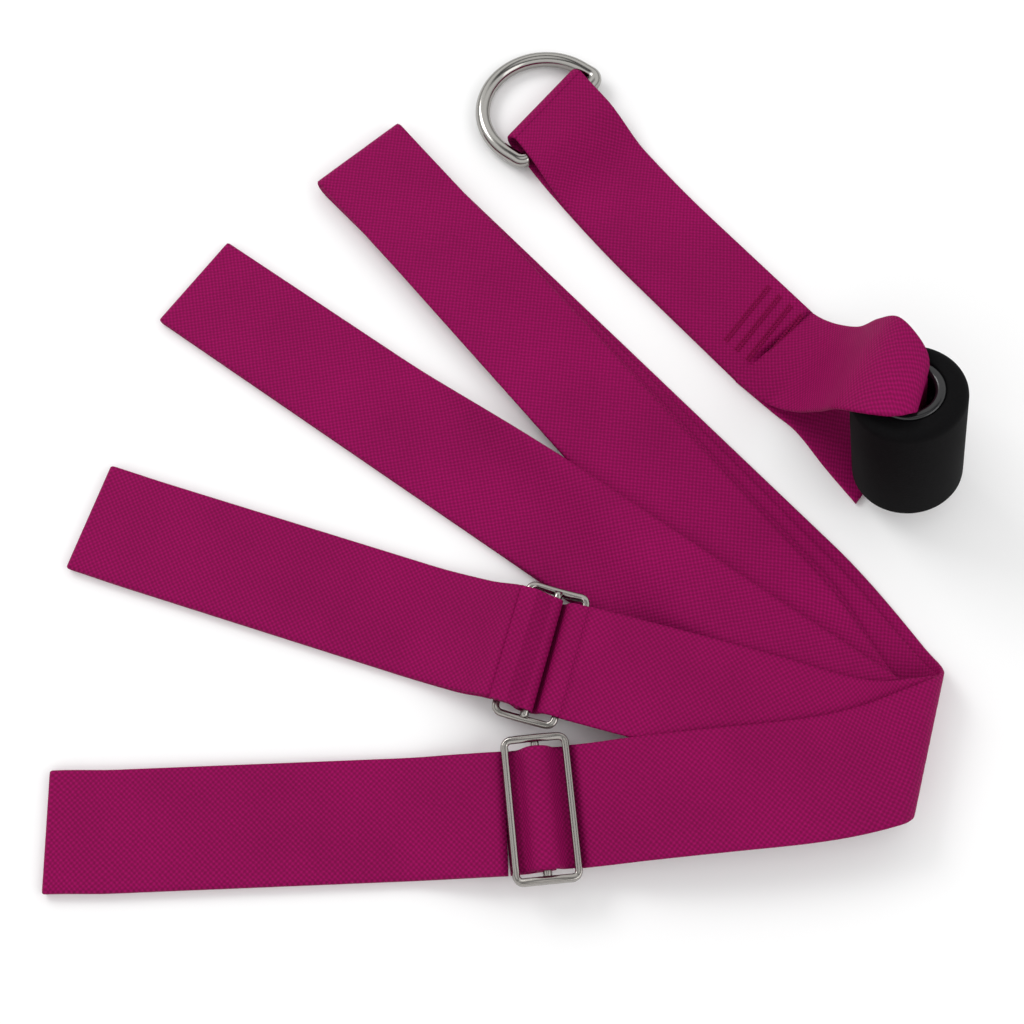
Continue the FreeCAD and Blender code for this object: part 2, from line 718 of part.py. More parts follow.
def bar_tacks():
    """Rows of dense stitching across the door strap, raised on its upper layer."""
    body = new_body("door_strap_bar_tacks")
    body.AllowCompound = True
    sketch = plane_sketch(body, "XY_Plane", "rows")
    half = "Sizes.tack_length / 2"
    for row in range(int(value("Sizes.tack_count"))):
        near = f"Sizes.tack_start + {row} * Sizes.tack_pitch"
        far = f"{near} + Sizes.tack_width"
        add_polygon(sketch, [(near, f"-{half}"), (far, f"-{half}"), (far, half), (near, half)])
    pad(body, sketch, "Sizes.tack_height")
    place(body, "Sizes.eye_x", "Sizes.eye_y", "Layout.pitch + Sizes.web_thick", DOOR_BACK)


def underpass():
    """The lower layer as it narrows and runs under the roller to the foot of its bore."""
    body = new_body("door_strap_underpass")
    sketch = plane_sketch(body, "XY_Plane", "outline")
    half = "Layout.half_width"
    narrow = "Sizes.core_width / 2"
    near = "Sizes.underpass_start"
    under = f"({near} + Sizes.underpass_end) / 2"
    end = "Sizes.underpass_end"
    add_polygon(sketch, [
        ("Sizes.door_length", half),
        ("Sizes.door_length", f"-{half}"),
        (near, f"-{half}"),
        (under, f"-{narrow}"),
        (end, f"-{narrow}"),
        (end, narrow),
        (under, narrow),
        (near, half),
    ])
    pad(body, sketch, "Sizes.web_thick")
    place(body, "Sizes.eye_x", "Sizes.eye_y", "0", DOOR_BACK)


def d_ring():
    """A bent and welded wire ring: straight bar, two short arms and a half circle."""
    radius = "Layout.ring_radius"
    wire = "Sizes.ring_wire / 2"
    bow = doc.addObject("Part::Torus", "ring_bow")
    bow.setExpression("Radius1", radius)
    bow.setExpression("Radius2", wire)
    bow.Angle3 = 180
    quarter = FreeCAD.Rotation(FreeCAD.Vector(0, 0, 1), -90)
    bow.Placement = FreeCAD.Placement(FreeCAD.Vector(), quarter)
    bow.setExpression("Placement.Base.x", "Sizes.ring_arm")
    pieces = [bow, ring_rod("ring_bar", "0", f"-{radius}", f"2 * {radius}", (1, 0, 0), -90)]
    for name, side in (("ring_arm_near", "-"), ("ring_arm_far", "")):
        pieces.append(ring_rod(name, "0", f"{side}{radius}", "Sizes.ring_arm", (0, 1, 0), 90))
        corner = doc.addObject("Part::Sphere", name + "_corner")
        corner.setExpression("Radius", wire)
        corner.setExpression("Placement.Base.y", f"{side}{radius}")
        pieces.append(corner)
    ring = doc.addObject("Part::MultiFuse", "d_ring")
    ring.Label = "d_ring"
    ring.Shapes = pieces
    doc.recompute()
    into_strap = "(Sizes.eye_direction - 90)"
    x, y = ahead("Sizes.eye_x", "Sizes.eye_y", into_strap, "Sizes.ring_setback")
    base = FreeCAD.Vector(value(x), value(y), value("Layout.eye_height"))
    turn = FreeCAD.Rotation(FreeCAD.Vector(0, 0, 1), value("Sizes.ring_direction") + 90)
    tilt = FreeCAD.Rotation(FreeCAD.Vector(0, 1, 0), value("Layout.ring_tilt"))
    ring.Placement = FreeCAD.Placement(base, turn.multiply(tilt))
    parts.append(ring)


def ring_rod(name, x, y, length, axis, angle):
    """A straight length of the ring's wire."""
    rod = doc.addObject("Part::Cylinder", name)
    rod.setExpression("Radius", "Sizes.ring_wire / 2")
    rod.setExpression("Height", length)
    rod.Placement = FreeCAD.Placement(
        FreeCAD.Vector(), FreeCAD.Rotation(FreeCAD.Vector(*axis), angle))
    rod.setExpression("Placement.Base.x", x)
    rod.setExpression("Placement.Base.y", y)
    return rod


def roller_placement():
    """The frame of the roller: its axis leans back over the strap."""
    x, y = ahead("Sizes.eye_x", "Sizes.eye_y", DOOR_BACK, "Sizes.roller_reach")
    base = FreeCAD.Vector(value(x), value(y), value("Layout.roller_foot"))
    turn = FreeCAD.Rotation(FreeCAD.Vector(0, 0, 1), value("Sizes.roller_azimuth"))
    lean = FreeCAD.Rotation(FreeCAD.Vector(0, 1, 0), value("Sizes.roller_lean"))
    return FreeCAD.Placement(base, turn.multiply(lean))


def anchor_roller():
    """A foam sleeve on a plastic tube, with the webbing drawn through its bore."""
    sleeve = revolved("roller_foam_sleeve", "Sizes.tube_outer / 2", "Layout.roller_radius",
                      "Sizes.tube_proud", "Sizes.roller_length - Sizes.tube_proud")
    rims = [f"Edge{i}" for i, edge in enumerate(sleeve.Shape.Edges, start=1)
            if edge.BoundBox.ZLength < 0.01 and edge.BoundBox.XLength > value("Sizes.tube_outer") + 1]
    fillet_edges(sleeve, rims, "Sizes.roller_edge")
    tube = revolved("roller_tube", "Sizes.tube_bore / 2", "Sizes.tube_outer / 2",
                    "0", "Sizes.roller_length")
    core = bored_webbing()
    crown = crown_webbing()
    for piece in (sleeve, tube, core, crown):
        piece.Placement = roller_placement()
    climb_webbing()


def revolved(label, inner, outer, low, high):
    """A tube about the body's z axis."""
    body = new_body(label)
    sketch = plane_sketch(body, "XZ_Plane", "half")
    add_polygon(sketch, [(inner, low), (outer, low), (outer, high), (inner, high)])
    feature = body.newObject("PartDesign::Revolution", label + "_turned")
    feature.Profile = sketch
    feature.ReferenceAxis = (sketch, ["V_Axis"])
    feature.Angle = 360
    doc.recompute()
    return body


def bored_webbing():
    """The webbing folded lengthwise inside the bore."""
    body = new_body("door_strap_core")
    sketch = plane_sketch(body, "XZ_Plane", "side")
    half = "Sizes.core_thick / 2"
    foot = "-Sizes.core_foot"
    head = "Sizes.roller_length + Sizes.roller_clearance"
    add_polygon(sketch, [(f"-{half}", foot), (half, foot), (half, head), (f"-{half}", head)])
    pad(body, sketch, "Sizes.core_width", symmetric=True)
    return body


def crown_webbing():
    """The webbing where it comes out over the roller's upper rim."""
    body = new_body("door_strap_crown")
    sketch = plane_sketch(body, "XZ_Plane", "side")
    low = "Sizes.roller_length + Sizes.roller_clearance"
    high = f"{low} + Sizes.crown_thick"
    inner = "-Sizes.core_thick / 2"
    outer = "Layout.roller_radius + Sizes.crown_overhang"
    add_polygon(sketch, [(inner, low), (outer, low), (outer, high), (inner, high)])
    pad(body, sketch, "Sizes.crown_width", symmetric=True)
    return body


def climb_webbing():
    """The upper layer from the table to the roller's rim, narrowing as it climbs."""
    strap = FreeCAD.Placement(
        FreeCAD.Vector(value("Sizes.eye_x"), value("Sizes.eye_y"), 0),
        FreeCAD.Rotation(FreeCAD.Vector(0, 0, 1), value(DOOR_BACK)))
    foot = section(strap, value("Sizes.door_length"), value("Layout.half_width"),
                   value("Layout.pitch"), value("Sizes.web_thick"), 1)
    head = section(roller_placement(), value("Layout.roller_radius + Sizes.crown_overhang"),
                   value("Sizes.crown_width / 2"),
                   value("Sizes.roller_length + Sizes.roller_clearance"),
                   value("Sizes.crown_thick"), -1)
    climb = doc.addObject("Part::Feature", "door_strap_climb")
    climb.Label = "door_strap_climb"
    climb.Shape = Part.makeLoft([foot, head], True, True)
    parts.append(climb)


def section(placement, along, half, low, thick, side):
    """An upright rectangle across a piece of webbing, as a closed wire."""
    corners = [(side * half, low), (-side * half, low),
               (-side * half, low + thick), (side * half, low + thick)]
    points = [placement.multVec(FreeCAD.Vector(along, y, z)) for y, z in corners]
    return Part.makePolygon(points + points[:1])


# ---------------------------------------------------------------- the whole strap


def check(part):
    """Stop if a sub-part failed or is not a sound solid."""
    bad = [state for state in part.State if state in ("Invalid", "Error")]
    if bad or part.Shape.isNull() or not part.Shape.isValid() or part.Shape.Volume <= 0:
        raise RuntimeError(f"{part.Label} is not a sound solid")


def main():
    fill_sheets()
    front_finger()
    rear_finger()
    mid_finger()
    long_finger()
    long_angle = "Sizes.long_heading"
    shared_turn("outer_turn", "front_run", "long_finger_bottom", "Sizes.front_heading", long_angle)
    shared_turn("second_turn", "rear_run", "long_finger_second", "Sizes.rear_heading", long_angle)
    shared_turn("third_turn", "mid_finger_upper", "long_finger_third",
                "Sizes.mid_heading", long_angle)
    shared_turn("inner_turn", "mid_finger_lower", "long_finger_top",
                "Sizes.mid_heading", long_angle)
    door_strap()
    d_ring()
    anchor_roller()
    doc.recompute()
    for item in doc.Objects:
        if "Invalid" in item.State or "Error" in item.State:
            raise RuntimeError(f"{item.Name} failed")
    os.makedirs("parts", exist_ok=True)
    for part in parts:
        check(part)
        part.Shape.exportStep(f"parts/{part.Label}.step")


main()
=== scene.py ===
"""Looks of the stretching strap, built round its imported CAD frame."""

import math

import bmesh
import bpy
import numpy as np
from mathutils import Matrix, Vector


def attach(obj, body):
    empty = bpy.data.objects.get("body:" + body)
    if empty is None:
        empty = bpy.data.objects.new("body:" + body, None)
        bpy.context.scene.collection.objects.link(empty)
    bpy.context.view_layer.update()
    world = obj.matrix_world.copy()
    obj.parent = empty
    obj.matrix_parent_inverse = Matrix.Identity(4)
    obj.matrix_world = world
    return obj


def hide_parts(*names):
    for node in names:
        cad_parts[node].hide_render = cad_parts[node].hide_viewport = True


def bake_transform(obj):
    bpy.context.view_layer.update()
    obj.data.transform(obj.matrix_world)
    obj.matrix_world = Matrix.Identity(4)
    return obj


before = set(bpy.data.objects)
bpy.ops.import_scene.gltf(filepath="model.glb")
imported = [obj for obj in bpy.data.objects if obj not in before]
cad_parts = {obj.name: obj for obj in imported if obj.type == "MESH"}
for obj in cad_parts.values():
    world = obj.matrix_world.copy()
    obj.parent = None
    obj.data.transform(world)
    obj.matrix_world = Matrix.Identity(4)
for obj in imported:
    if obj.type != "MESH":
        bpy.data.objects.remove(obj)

bl_info = {
    "name": "Stretching strap",
    "version": (1, 0, 0),
    "blender": (4, 5, 0),
    "location": "View3D > Sidebar > Strap",
    "description": "Builds a webbing stretching strap with two slides, a door strap and a roller",
    "category": "Add Mesh",
}

MM = 0.001


# ------------------------------------------------------------------ sizes and colours


class StrapSizes(bpy.types.PropertyGroup):
    """Sizes of the webbing, in metres."""

    web_width: bpy.props.FloatProperty(
        name="Webbing width", description="Width of the flat webbing",
        default=0.038, unit="LENGTH")
    web_thick: bpy.props.FloatProperty(
        name="Webbing thickness", description="Thickness of one layer of webbing",
        default=0.0015, unit="LENGTH")
    weave_pitch: bpy.props.FloatProperty(
        name="Weave pitch", description="Distance between raised yarns along the webbing",
        default=0.00175, unit="LENGTH")
    stitch_length: bpy.props.FloatProperty(
        name="Stitch length", description="Length of one stitch in the bar tacks",
        default=0.0012, unit="LENGTH")


class StrapColours(bpy.types.PropertyGroup):
    """Colours of the strap's materials, linear."""

    webbing: bpy.props.FloatVectorProperty(
        name="Webbing", description="Colour of the raised yarns",
        default=(0.33, 0.0022, 0.105), size=3, subtype="COLOR")
    # The gap colour is painted shade: the sunk yarns between the raised ones are darkened in
    # colour as well as by the bump.
    gaps: bpy.props.FloatVectorProperty(
        name="Gaps", description="Colour between the raised yarns",
        default=(0.135, 0.0006, 0.040), size=3, subtype="COLOR")
    thread: bpy.props.FloatVectorProperty(
        name="Thread", description="Colour of the sewing thread",
        default=(0.29, 0.0018, 0.07), size=3, subtype="COLOR")
    nickel: bpy.props.FloatVectorProperty(
        name="Nickel", description="Colour of the plated slides",
        default=(0.34, 0.32, 0.30), size=3, subtype="COLOR")
    ring: bpy.props.FloatVectorProperty(
        name="Ring", description="Colour of the polished ring",
        default=(0.36, 0.35, 0.33), size=3, subtype="COLOR")
    foam: bpy.props.FloatVectorProperty(
        name="Foam", description="Colour of the foam sleeve",
        default=(0.0020, 0.0019, 0.0023), size=3, subtype="COLOR")
    plastic: bpy.props.FloatVectorProperty(
        name="Plastic", description="Colour of the roller's tube",
        default=(0.006, 0.006, 0.007), size=3, subtype="COLOR")


# ------------------------------------------------------------------ small geometry


def unit(degrees):
    """A flat unit vector at a heading."""
    return np.array([math.cos(math.radians(degrees)), math.sin(math.radians(degrees))])


def arc(x, y, radius, start, stop, count):
    """Points round a centre, from one heading to another in degrees."""
    return [(x + radius * math.cos(math.radians(a)), y + radius * math.sin(math.radians(a)))
            for a in np.linspace(start, stop, count)]


def ease(x):
    """0 to 1, flat at both ends."""
    x = min(max(x, 0.0), 1.0)
    return x * x * (3 - 2 * x)


def knots(points, x):
    """A smooth curve through (x, y) points that never overshoots them."""
    xs, ys = zip(*points)
    if x <= xs[0]:
        return ys[0]
    if x >= xs[-1]:
        return ys[-1]
    steps = [(ys[i + 1] - ys[i]) / (xs[i + 1] - xs[i]) for i in range(len(xs) - 1)]
    slopes = [0.0] + [
        0.0 if a * b <= 0 else 2 * a * b / (a + b) for a, b in zip(steps, steps[1:])
    ] + [0.0]
    i = max(k for k in range(len(xs) - 1) if xs[k] <= x)
    return hermite(x, (xs[i], ys[i], slopes[i]), (xs[i + 1], ys[i + 1], slopes[i + 1]))


def hermite(x, start, end):
    """The cubic between two (x, y, slope) ends."""
    width = end[0] - start[0]
    t = (x - start[0]) / width
    h = 3 * t ** 2 - 2 * t ** 3
    a = (t ** 3 - 2 * t ** 2 + t) * width * start[2]
    b = (t ** 3 - t ** 2) * width * end[2]
    return start[1] * (1 - h) + end[1] * h + a + b


def lengths_along(points):
    """How far along its line each point lies."""
    gaps = np.linalg.norm(np.diff(points, axis=0), axis=1)
    return np.concatenate([[0], np.cumsum(gaps)])


def curve_through(points, count, fineness=24):
    """Evenly spread points on a smooth curve through 3-D points."""
    points = np.array(points, float)
    padded = np.vstack([2 * points[0] - points[1], points, 2 * points[-1] - points[-2]])
    fine = []
    for i in range(1, len(padded) - 2):
        a, b, c, d = padded[i - 1:i + 3]
        for t in np.linspace(0, 1, fineness, endpoint=False):
            fine.append(0.5 * (2 * b + (c - a) * t + (2 * a - 5 * b + 4 * c - d) * t ** 2
                               + (3 * b - a - 3 * c + d) * t ** 3))
    fine.append(points[-1])
    fine = np.array(fine)
    run = lengths_along(fine)
    wanted = np.linspace(0, run[-1], count)
    return np.stack([np.interp(wanted, run, fine[:, k]) for k in range(3)], axis=1)


class Fold:
    """A place where webbing turns back over itself about a level axis, in millimetres.

    A point is (c, s): c runs over the top layer (below 0), round the turn, and back along
    the bottom layer; s runs along the axis."""

    def __init__(self, x, y, z, direction, radius):
        self.centre = np.array([x, y])
        self.z = z
        self.along = unit(direction)
        self.out = unit(direction - 90)
        self.radius = radius
        self.turn = math.pi * radius

    def point(self, c, s):
        """The place at c along the webbing and s along the axis."""
        if c < 0:
            reach, rise = c, self.radius
        elif c <= self.turn:
            reach = self.radius * math.sin(c / self.radius)
            rise = self.radius * math.cos(c / self.radius)
        else:
            reach, rise = self.turn - c, -self.radius
        x, y = self.centre + self.along * s + self.out * reach
        return np.array([x, y, self.z + rise])

    def line(self, x, y, heading, bottom):
        """(intercept, slope) of a straight run through x, y as s against c."""
        offset = np.array([x, y]) - self.centre
        ahead = unit(heading)
        side = -1 if bottom else 1
        slope = side * (ahead @ self.along) / (ahead @ self.out)
        c = side * (offset @ self.out) + (self.turn if bottom else 0)
        return offset @ self.along - slope * c, slope


class Course:
    """The centre line of a strip of webbing over one fold, as s against c.

    It is straight beyond reach from the turn, and bends between there and the turn."""

    PROBE = 0.05
    NEAR_TURN = 18.0
    FINEST = 0.18
    TURN_SHARE = 0.22

    def __init__(self, fold, top, bottom, middle=0.0, slope=None, reach=45.0):
        self.fold = fold
        self.top = fold.line(*top, False)
        self.bottom = fold.line(*bottom, True)
        self.slope = (self.top[1] + self.bottom[1]) / 2 if slope is None else slope
        self.middle = middle
        self.reach = reach

    def side(self, c):
        """s of the centre line at c."""
        half = self.fold.turn / 2
        if 0 <= c <= self.fold.turn:
            return self.middle + self.slope * (c - half)
        if c < 0:
            far = self.top[0] + self.top[1] * c
            if c < -self.reach:
                return far
            start = (-self.reach, self.top[0] - self.top[1] * self.reach, self.top[1])
            return hermite(c, start, (0.0, self.middle - self.slope * half, self.slope))
        if c > self.fold.turn + self.reach:
            return self.bottom[0] + self.bottom[1] * c
        stop = self.fold.turn + self.reach
        end = (stop, self.bottom[0] + self.bottom[1] * stop, self.bottom[1])
        near = (self.fold.turn, self.middle + self.slope * half, self.slope)
        return hermite(c, near, end)

    def row(self, c, across, lift):
        """Points straight across the strip where its centre line is at c."""
        step = self.side(c + self.PROBE) - self.side(c - self.PROBE)
        slope = step / (2 * self.PROBE) * self.tilt(c)
        scale = 1 / math.hypot(1, slope)
        side = self.side(c)
        points = []
        for w in across:
            point = self.fold.point(c - w * slope * scale, side + w * scale)
            top = c - w * slope * scale < self.fold.turn / 2
            point[2] += lift(point[0], point[1], top)
            points.append(point)
        return np.array(points)

    def rows(self, start, end, across, lift=lambda x, y, top: 0.0, fine=0.9, coarse=3.0):
        """Rows from start to end, closer together near the turn."""
        found = []
        c = min(start, end)
        stop = max(start, end)
        while c < stop:
            found.append(self.row(c, across, lift))
            near = -self.NEAR_TURN < c < self.fold.turn + self.NEAR_TURN
            turn_step = max(self.FINEST, self.fold.radius * self.TURN_SHARE)
            c += min(fine, turn_step) if near else coarse
        found.append(self.row(stop, across, lift))
        return found if start < end else found[::-1]

    def tilt(self, c):
        """Rows stay square across the webbing."""
        return 1.0

    def top_at(self, x, y):
        """c of a place on the top layer."""
        return (np.array([x, y]) - self.fold.centre) @ self.fold.out

    def bottom_at(self, x, y):
        """c of a place on the bottom layer."""
        return self.fold.turn - self.top_at(x, y)


class EyeCourse(Course):
    """Webbing that turns round the ring's bar and leaves it at a slant on both sides."""

    def __init__(self, fold, far, near_heading, reach, square):
        super().__init__(fold, far, far, 0.0, 0.0, reach)
        x, y, heading = far
        self.near_top = fold.line(x, y, near_heading, False)[1]
        self.near_bottom = fold.line(x, y, near_heading, True)[1]
        self.square = square

    def side(self, c):
        """s of the centre line at c: none on the bar, slanting away from it."""
        if c < 0:
            start = (-self.reach, self.top[0] - self.top[1] * self.reach, self.top[1])
            if c < -self.reach:
                return self.top[0] + self.top[1] * c
            return hermite(c, start, (0.0, 0.0, self.near_top))
        if c > self.fold.turn:
            stop = self.fold.turn + self.reach
            if c > stop:
                return self.bottom[0] + self.bottom[1] * c
            end = (stop, self.bottom[0] + self.bottom[1] * stop, self.bottom[1])
            return hermite(c, (self.fold.turn, 0.0, self.near_bottom), end)
        return 0.0

    def tilt(self, c):
        """How far a row has turned from the bar (0) to square across the webbing (1)."""
        away = max(-c, c - self.fold.turn, 0.0)
        return ease(away / self.square)


def joined(*parts):
    """Rows of several stretches of one strip, end to end, all read the same way across."""
    rows = list(parts[0])
    for part in parts[1:]:
        across = rows[-1][-1] - rows[-1][0]
        flip = across @ (part[0][-1] - part[0][0]) < 0
        rows += [row[::-1] for row in part] if flip else list(part)
    return rows


def across_points(width, count=17):
    """Places across a strip, closer together at its edges."""
    return [-math.cos(math.pi * i / (count - 1)) * width / 2 for i in range(count)]


# ------------------------------------------------------------------ meshes


def new_object(name, vertices, faces, uvs=None, smooth=True):
    """A mesh object with its faces turned outward. uvs are per vertex, in metres."""
    mesh = bpy.data.meshes.new(name)
    mesh.from_pydata([tuple(v) for v in vertices], [], faces)
    work = bmesh.new()
    work.from_mesh(mesh)
    bmesh.ops.recalc_face_normals(work, faces=work.faces)
    if uvs is not None:
        layer = work.loops.layers.uv.new("Along")
        for face in work.faces:
            for corner in face.loops:
                corner[layer].uv = uvs[corner.vert.index]
    work.to_mesh(mesh)
    work.free()
    mesh.polygons.foreach_set("use_smooth", [smooth] * len(mesh.polygons))
    mesh.update()
    piece = bpy.data.objects.new(name, mesh)
    bpy.context.scene.collection.objects.link(piece)
    return piece


def surface_normals(grid):
    """Unit normals of a grid of points, rows by places across."""
    along = np.gradient(grid, axis=0)
    over = np.gradient(grid, axis=1)
    normal = np.cross(along, over)
    length = np.linalg.norm(normal, axis=2, keepdims=True)
    return normal / np.maximum(length, 1e-12)


SELVEDGE = 0.55
SELVEDGE_THIN = 0.16
ROW_GAP = 0.05


def spaced_rows(rows):
    """The rows as one grid, without those that lie on the row before."""
    grid = np.array(rows, float)
    kept = [0]
    for i in range(1, len(grid)):
        gap = np.linalg.norm(grid[i].mean(0) - grid[kept[-1]].mean(0))
        if gap > ROW_GAP:
            kept.append(i)
    return grid[kept]


def half_profile(places, thick):
    """Half the webbing's thickness at places across it, thinner at its rounded edges."""
    inner = np.minimum(places, places[:, -1:] - places)
    rise = 1 - (1 - np.minimum(inner / SELVEDGE, 1)) ** 2
    return thick / 2 * np.sqrt(np.clip(rise, SELVEDGE_THIN, 1))


def webbing(name, rows, thick, start=0.0):
    """A closed strip of webbing round rows of points on its middle surface, in mm.

    start moves the weave along the strip, so that neighbours don't repeat it."""
    grid = spaced_rows(rows)
    count, wide = grid.shape[:2]
    normals = surface_normals(grid)
    run = lengths_along(grid[:, wide // 2])
    width = np.linalg.norm(np.diff(grid, axis=1), axis=2)
    places = np.concatenate([np.zeros((count, 1)), np.cumsum(width, axis=1)], axis=1)
    offset = normals * half_profile(places, thick)[:, :, None]
    ring = np.concatenate([grid + offset, (grid - offset)[:, ::-1]], axis=1)
    around = 2 * wide
    vertices = ring.reshape(-1, 3) * MM
    back = np.concatenate([places, places[:, ::-1]], axis=1)
    u = np.repeat((run + start)[:, None], around, axis=1)
    uvs = np.stack([u, back], axis=2).reshape(-1, 2) * MM
    faces = []
    for i in range(count - 1):
        for j in range(around):
            k = (j + 1) % around
            faces.append((i * around + j, i * around + k,
                          (i + 1) * around + k, (i + 1) * around + j))
    last = (count - 1) * around
    for j in range(wide - 1):
        faces.append((j, around - 1 - j, around - 2 - j, j + 1))
        faces.append((last + j, last + j + 1, last + around - 2 - j, last + around - 1 - j))
    return new_object(name, vertices, faces, uvs)


def tube(name, path, radius, sides=20, closed=True, halves=(1.0, 1.0), power=1.0):
    """A bar along a path of points, in mm: round, or a rounded box when power is below 1."""
    path = np.array(path, float)
    count = len(path)
    if closed:
        heading = np.roll(path, -1, axis=0) - np.roll(path, 1, axis=0)
    else:
        heading = np.gradient(path, axis=0)
    heading /= np.linalg.norm(heading, axis=1, keepdims=True)
    side = np.cross(heading[0], [0.0, 0.0, 1.0])
    vertices = []
    for i in range(count):
        side = side - heading[i] * (side @ heading[i])
        side /= np.linalg.norm(side)
        up = np.cross(side, heading[i])
        for k in range(sides):
            angle = 2 * math.pi * k / sides
            wide = math.copysign(abs(math.cos(angle)) ** power, math.cos(angle)) * halves[0]
            tall = math.copysign(abs(math.sin(angle)) ** power, math.sin(angle)) * halves[1]
            vertices.append((path[i] + radius * (wide * side + tall * up)) * MM)
    faces = []
    for i in range(count if closed else count - 1):
        j = (i + 1) % count
        for k in range(sides):
            m = (k + 1) % sides
            faces.append((i * sides + k, i * sides + m, j * sides + m, j * sides + k))
    if not closed:
        faces.append(tuple(range(sides)))
        faces.append(tuple((count - 1) * sides + k for k in range(sides)))
    return new_object(name, vertices, faces)


def turned(name, profile, placing, segments=96):
    """A closed half profile of (radius, height) turned about a placed axis, in mm."""
    origin, axis, first = placing
    second = np.cross(axis, first)
    vertices = []
    for i in range(segments):
        angle = 2 * math.pi * i / segments
        out = math.cos(angle) * first + math.sin(angle) * second
        for radius, height in profile:
            vertices.append((origin + axis * height + out * radius) * MM)
    count = len(profile)
    faces = []
    for i in range(segments):
        j = (i + 1) % segments
        for k in range(count):
            m = (k + 1) % count
            faces.append((i * count + k, i * count + m, j * count + m, j * count + k))
    return new_object(name, vertices, faces)


# ------------------------------------------------------------------ materials


class Nodes:
    """A small helper to add and link shader nodes in one tree."""

    def __init__(self, tree):
        self.tree = tree

    def add(self, kind, **settings):
        """A new node with its settings."""
        node = self.tree.nodes.new(kind)
        for key, value in settings.items():
            setattr(node, key, value)
        return node

    def link(self, source, target):
        """Joins an output to an input."""
        self.tree.links.new(source, target)

    def noise(self, vector, scale, detail):
        """The value of a noise texture."""
        node = self.add("ShaderNodeTexNoise")
        node.inputs["Scale"].default_value = scale
        node.inputs["Detail"].default_value = detail
        self.link(vector, node.inputs["Vector"])
        return node.outputs["Fac"]

    def object_space(self):
        """Places in the piece's own space."""
        return self.add("ShaderNodeTexCoord").outputs["Object"]

    def math(self, operation, *values):
        """The result of a math node, from numbers or outputs."""
        node = self.add("ShaderNodeMath", operation=operation)
        for socket, value in zip(node.inputs, values):
            if isinstance(value, (int, float)):
                socket.default_value = value
            else:
                self.link(value, socket)
        return node.outputs[0]


def new_group(name, inputs, outputs):
    """A node group that takes a Vector and the named values, and gives named values."""
    tree = bpy.data.node_groups.new(name, "ShaderNodeTree")
    face = tree.interface
    face.new_socket(name="Vector", in_out="INPUT", socket_type="NodeSocketVector")
    for way, titles in (("INPUT", inputs), ("OUTPUT", outputs)):
        for title in titles:
            face.new_socket(name=title, in_out=way, socket_type="NodeSocketFloat")
    n = Nodes(tree)
    return n, n.add("NodeGroupInput"), n.add("NodeGroupOutput")


def weave_group():
    """Raised yarns in a staggered grid, with fine threads, slubs and slow shading."""
    n, given, out = new_group("Weave", ("Pitch",), ("Raised", "Height", "Patch"))
    vector = given.outputs["Vector"]
    split = n.add("ShaderNodeSeparateXYZ")
    n.link(vector, split.inputs[0])
    wander = n.math("SUBTRACT", n.noise(vector, 420, 2), 0.5)
    shake = n.math("MULTIPLY", wander, 0.0006)
    u = n.math("DIVIDE", n.math("ADD", split.outputs["X"], shake), given.outputs["Pitch"])
    v = n.math("DIVIDE", n.math("ADD", split.outputs["Y"], shake), given.outputs["Pitch"])
    wave_u = n.math("COSINE", n.math("MULTIPLY", u, 2 * math.pi))
    wave_v = n.math("COSINE", n.math("MULTIPLY", v, 2 * math.pi))
    cells = n.math("MULTIPLY", wave_u, wave_v)
    lifted = n.math("ADD", n.math("MULTIPLY", cells, 0.5), 0.5)
    knuckle = n.math("POWER", lifted, 1.3)
    strand = n.math("ABSOLUTE", n.math("SINE", n.math("MULTIPLY", v, math.pi * 4)))
    rough = n.math("MULTIPLY", n.noise(vector, 1500, 3), 0.35)
    raised = n.math("ADD", n.math("MULTIPLY", knuckle, 0.75), rough)
    # Raised shapes the yarns' relief and also sets where the painted shade of the gaps goes.
    n.link(n.math("MINIMUM", raised, 1.0), out.inputs["Raised"])
    height = n.math("ADD", raised, n.math("MULTIPLY", strand, 0.12))
    n.link(height, out.inputs["Height"])
    n.link(n.noise(vector, 26, 4), out.inputs["Patch"])


def wear_group():
    """Fine scratches and dull patches for plated metal and glossy plastic."""
    n, given, out = new_group("Wear", (), ("Dull", "Height"))
    patch = n.noise(given.outputs["Vector"], 160, 4)
    fine = n.noise(given.outputs["Vector"], 2400, 2)
    mixed = n.math("ADD", n.math("MULTIPLY", patch, 0.7), n.math("MULTIPLY", fine, 0.3))
    n.link(mixed, out.inputs["Dull"])
    n.link(fine, out.inputs["Height"])


def foam_group():
    """Tiny closed cells of dense foam rubber."""
    n, given, out = new_group("Foam cells", (), ("Cells",))
    cells = n.add("ShaderNodeTexVoronoi")
    cells.inputs["Scale"].default_value = 1300
    n.link(given.outputs["Vector"], cells.inputs["Vector"])
    haze = n.noise(given.outputs["Vector"], 500, 3)
    both = n.math("ADD", n.math("MULTIPLY", cells.outputs["Distance"], 0.6),
                  n.math("MULTIPLY", haze, 0.4))
    n.link(both, out.inputs["Cells"])


def new_material(name):
    """A material with one principled shader."""
    material = bpy.data.materials.new(name)
    material.use_nodes = True
    tree = material.node_tree
    tree.nodes.clear()
    n = Nodes(tree)
    shader = n.add("ShaderNodeBsdfPrincipled")
    out = n.add("ShaderNodeOutputMaterial")
    n.link(shader.outputs[0], out.inputs["Surface"])
    return material, n, shader


def group_node(n, name, vector):
    """A shared group, fed with places."""
    node = n.add("ShaderNodeGroup")
    node.node_tree = bpy.data.node_groups[name]
    n.link(vector, node.inputs["Vector"])
    return node


def turned_space(n, heading):
    """Places in the piece's own space, turned so that x runs along a heading."""
    mapping = n.add("ShaderNodeMapping")
    mapping.inputs["Rotation"].default_value = (0, 0, -math.radians(heading))
    n.link(n.object_space(), mapping.inputs["Vector"])
    return mapping.outputs[0]


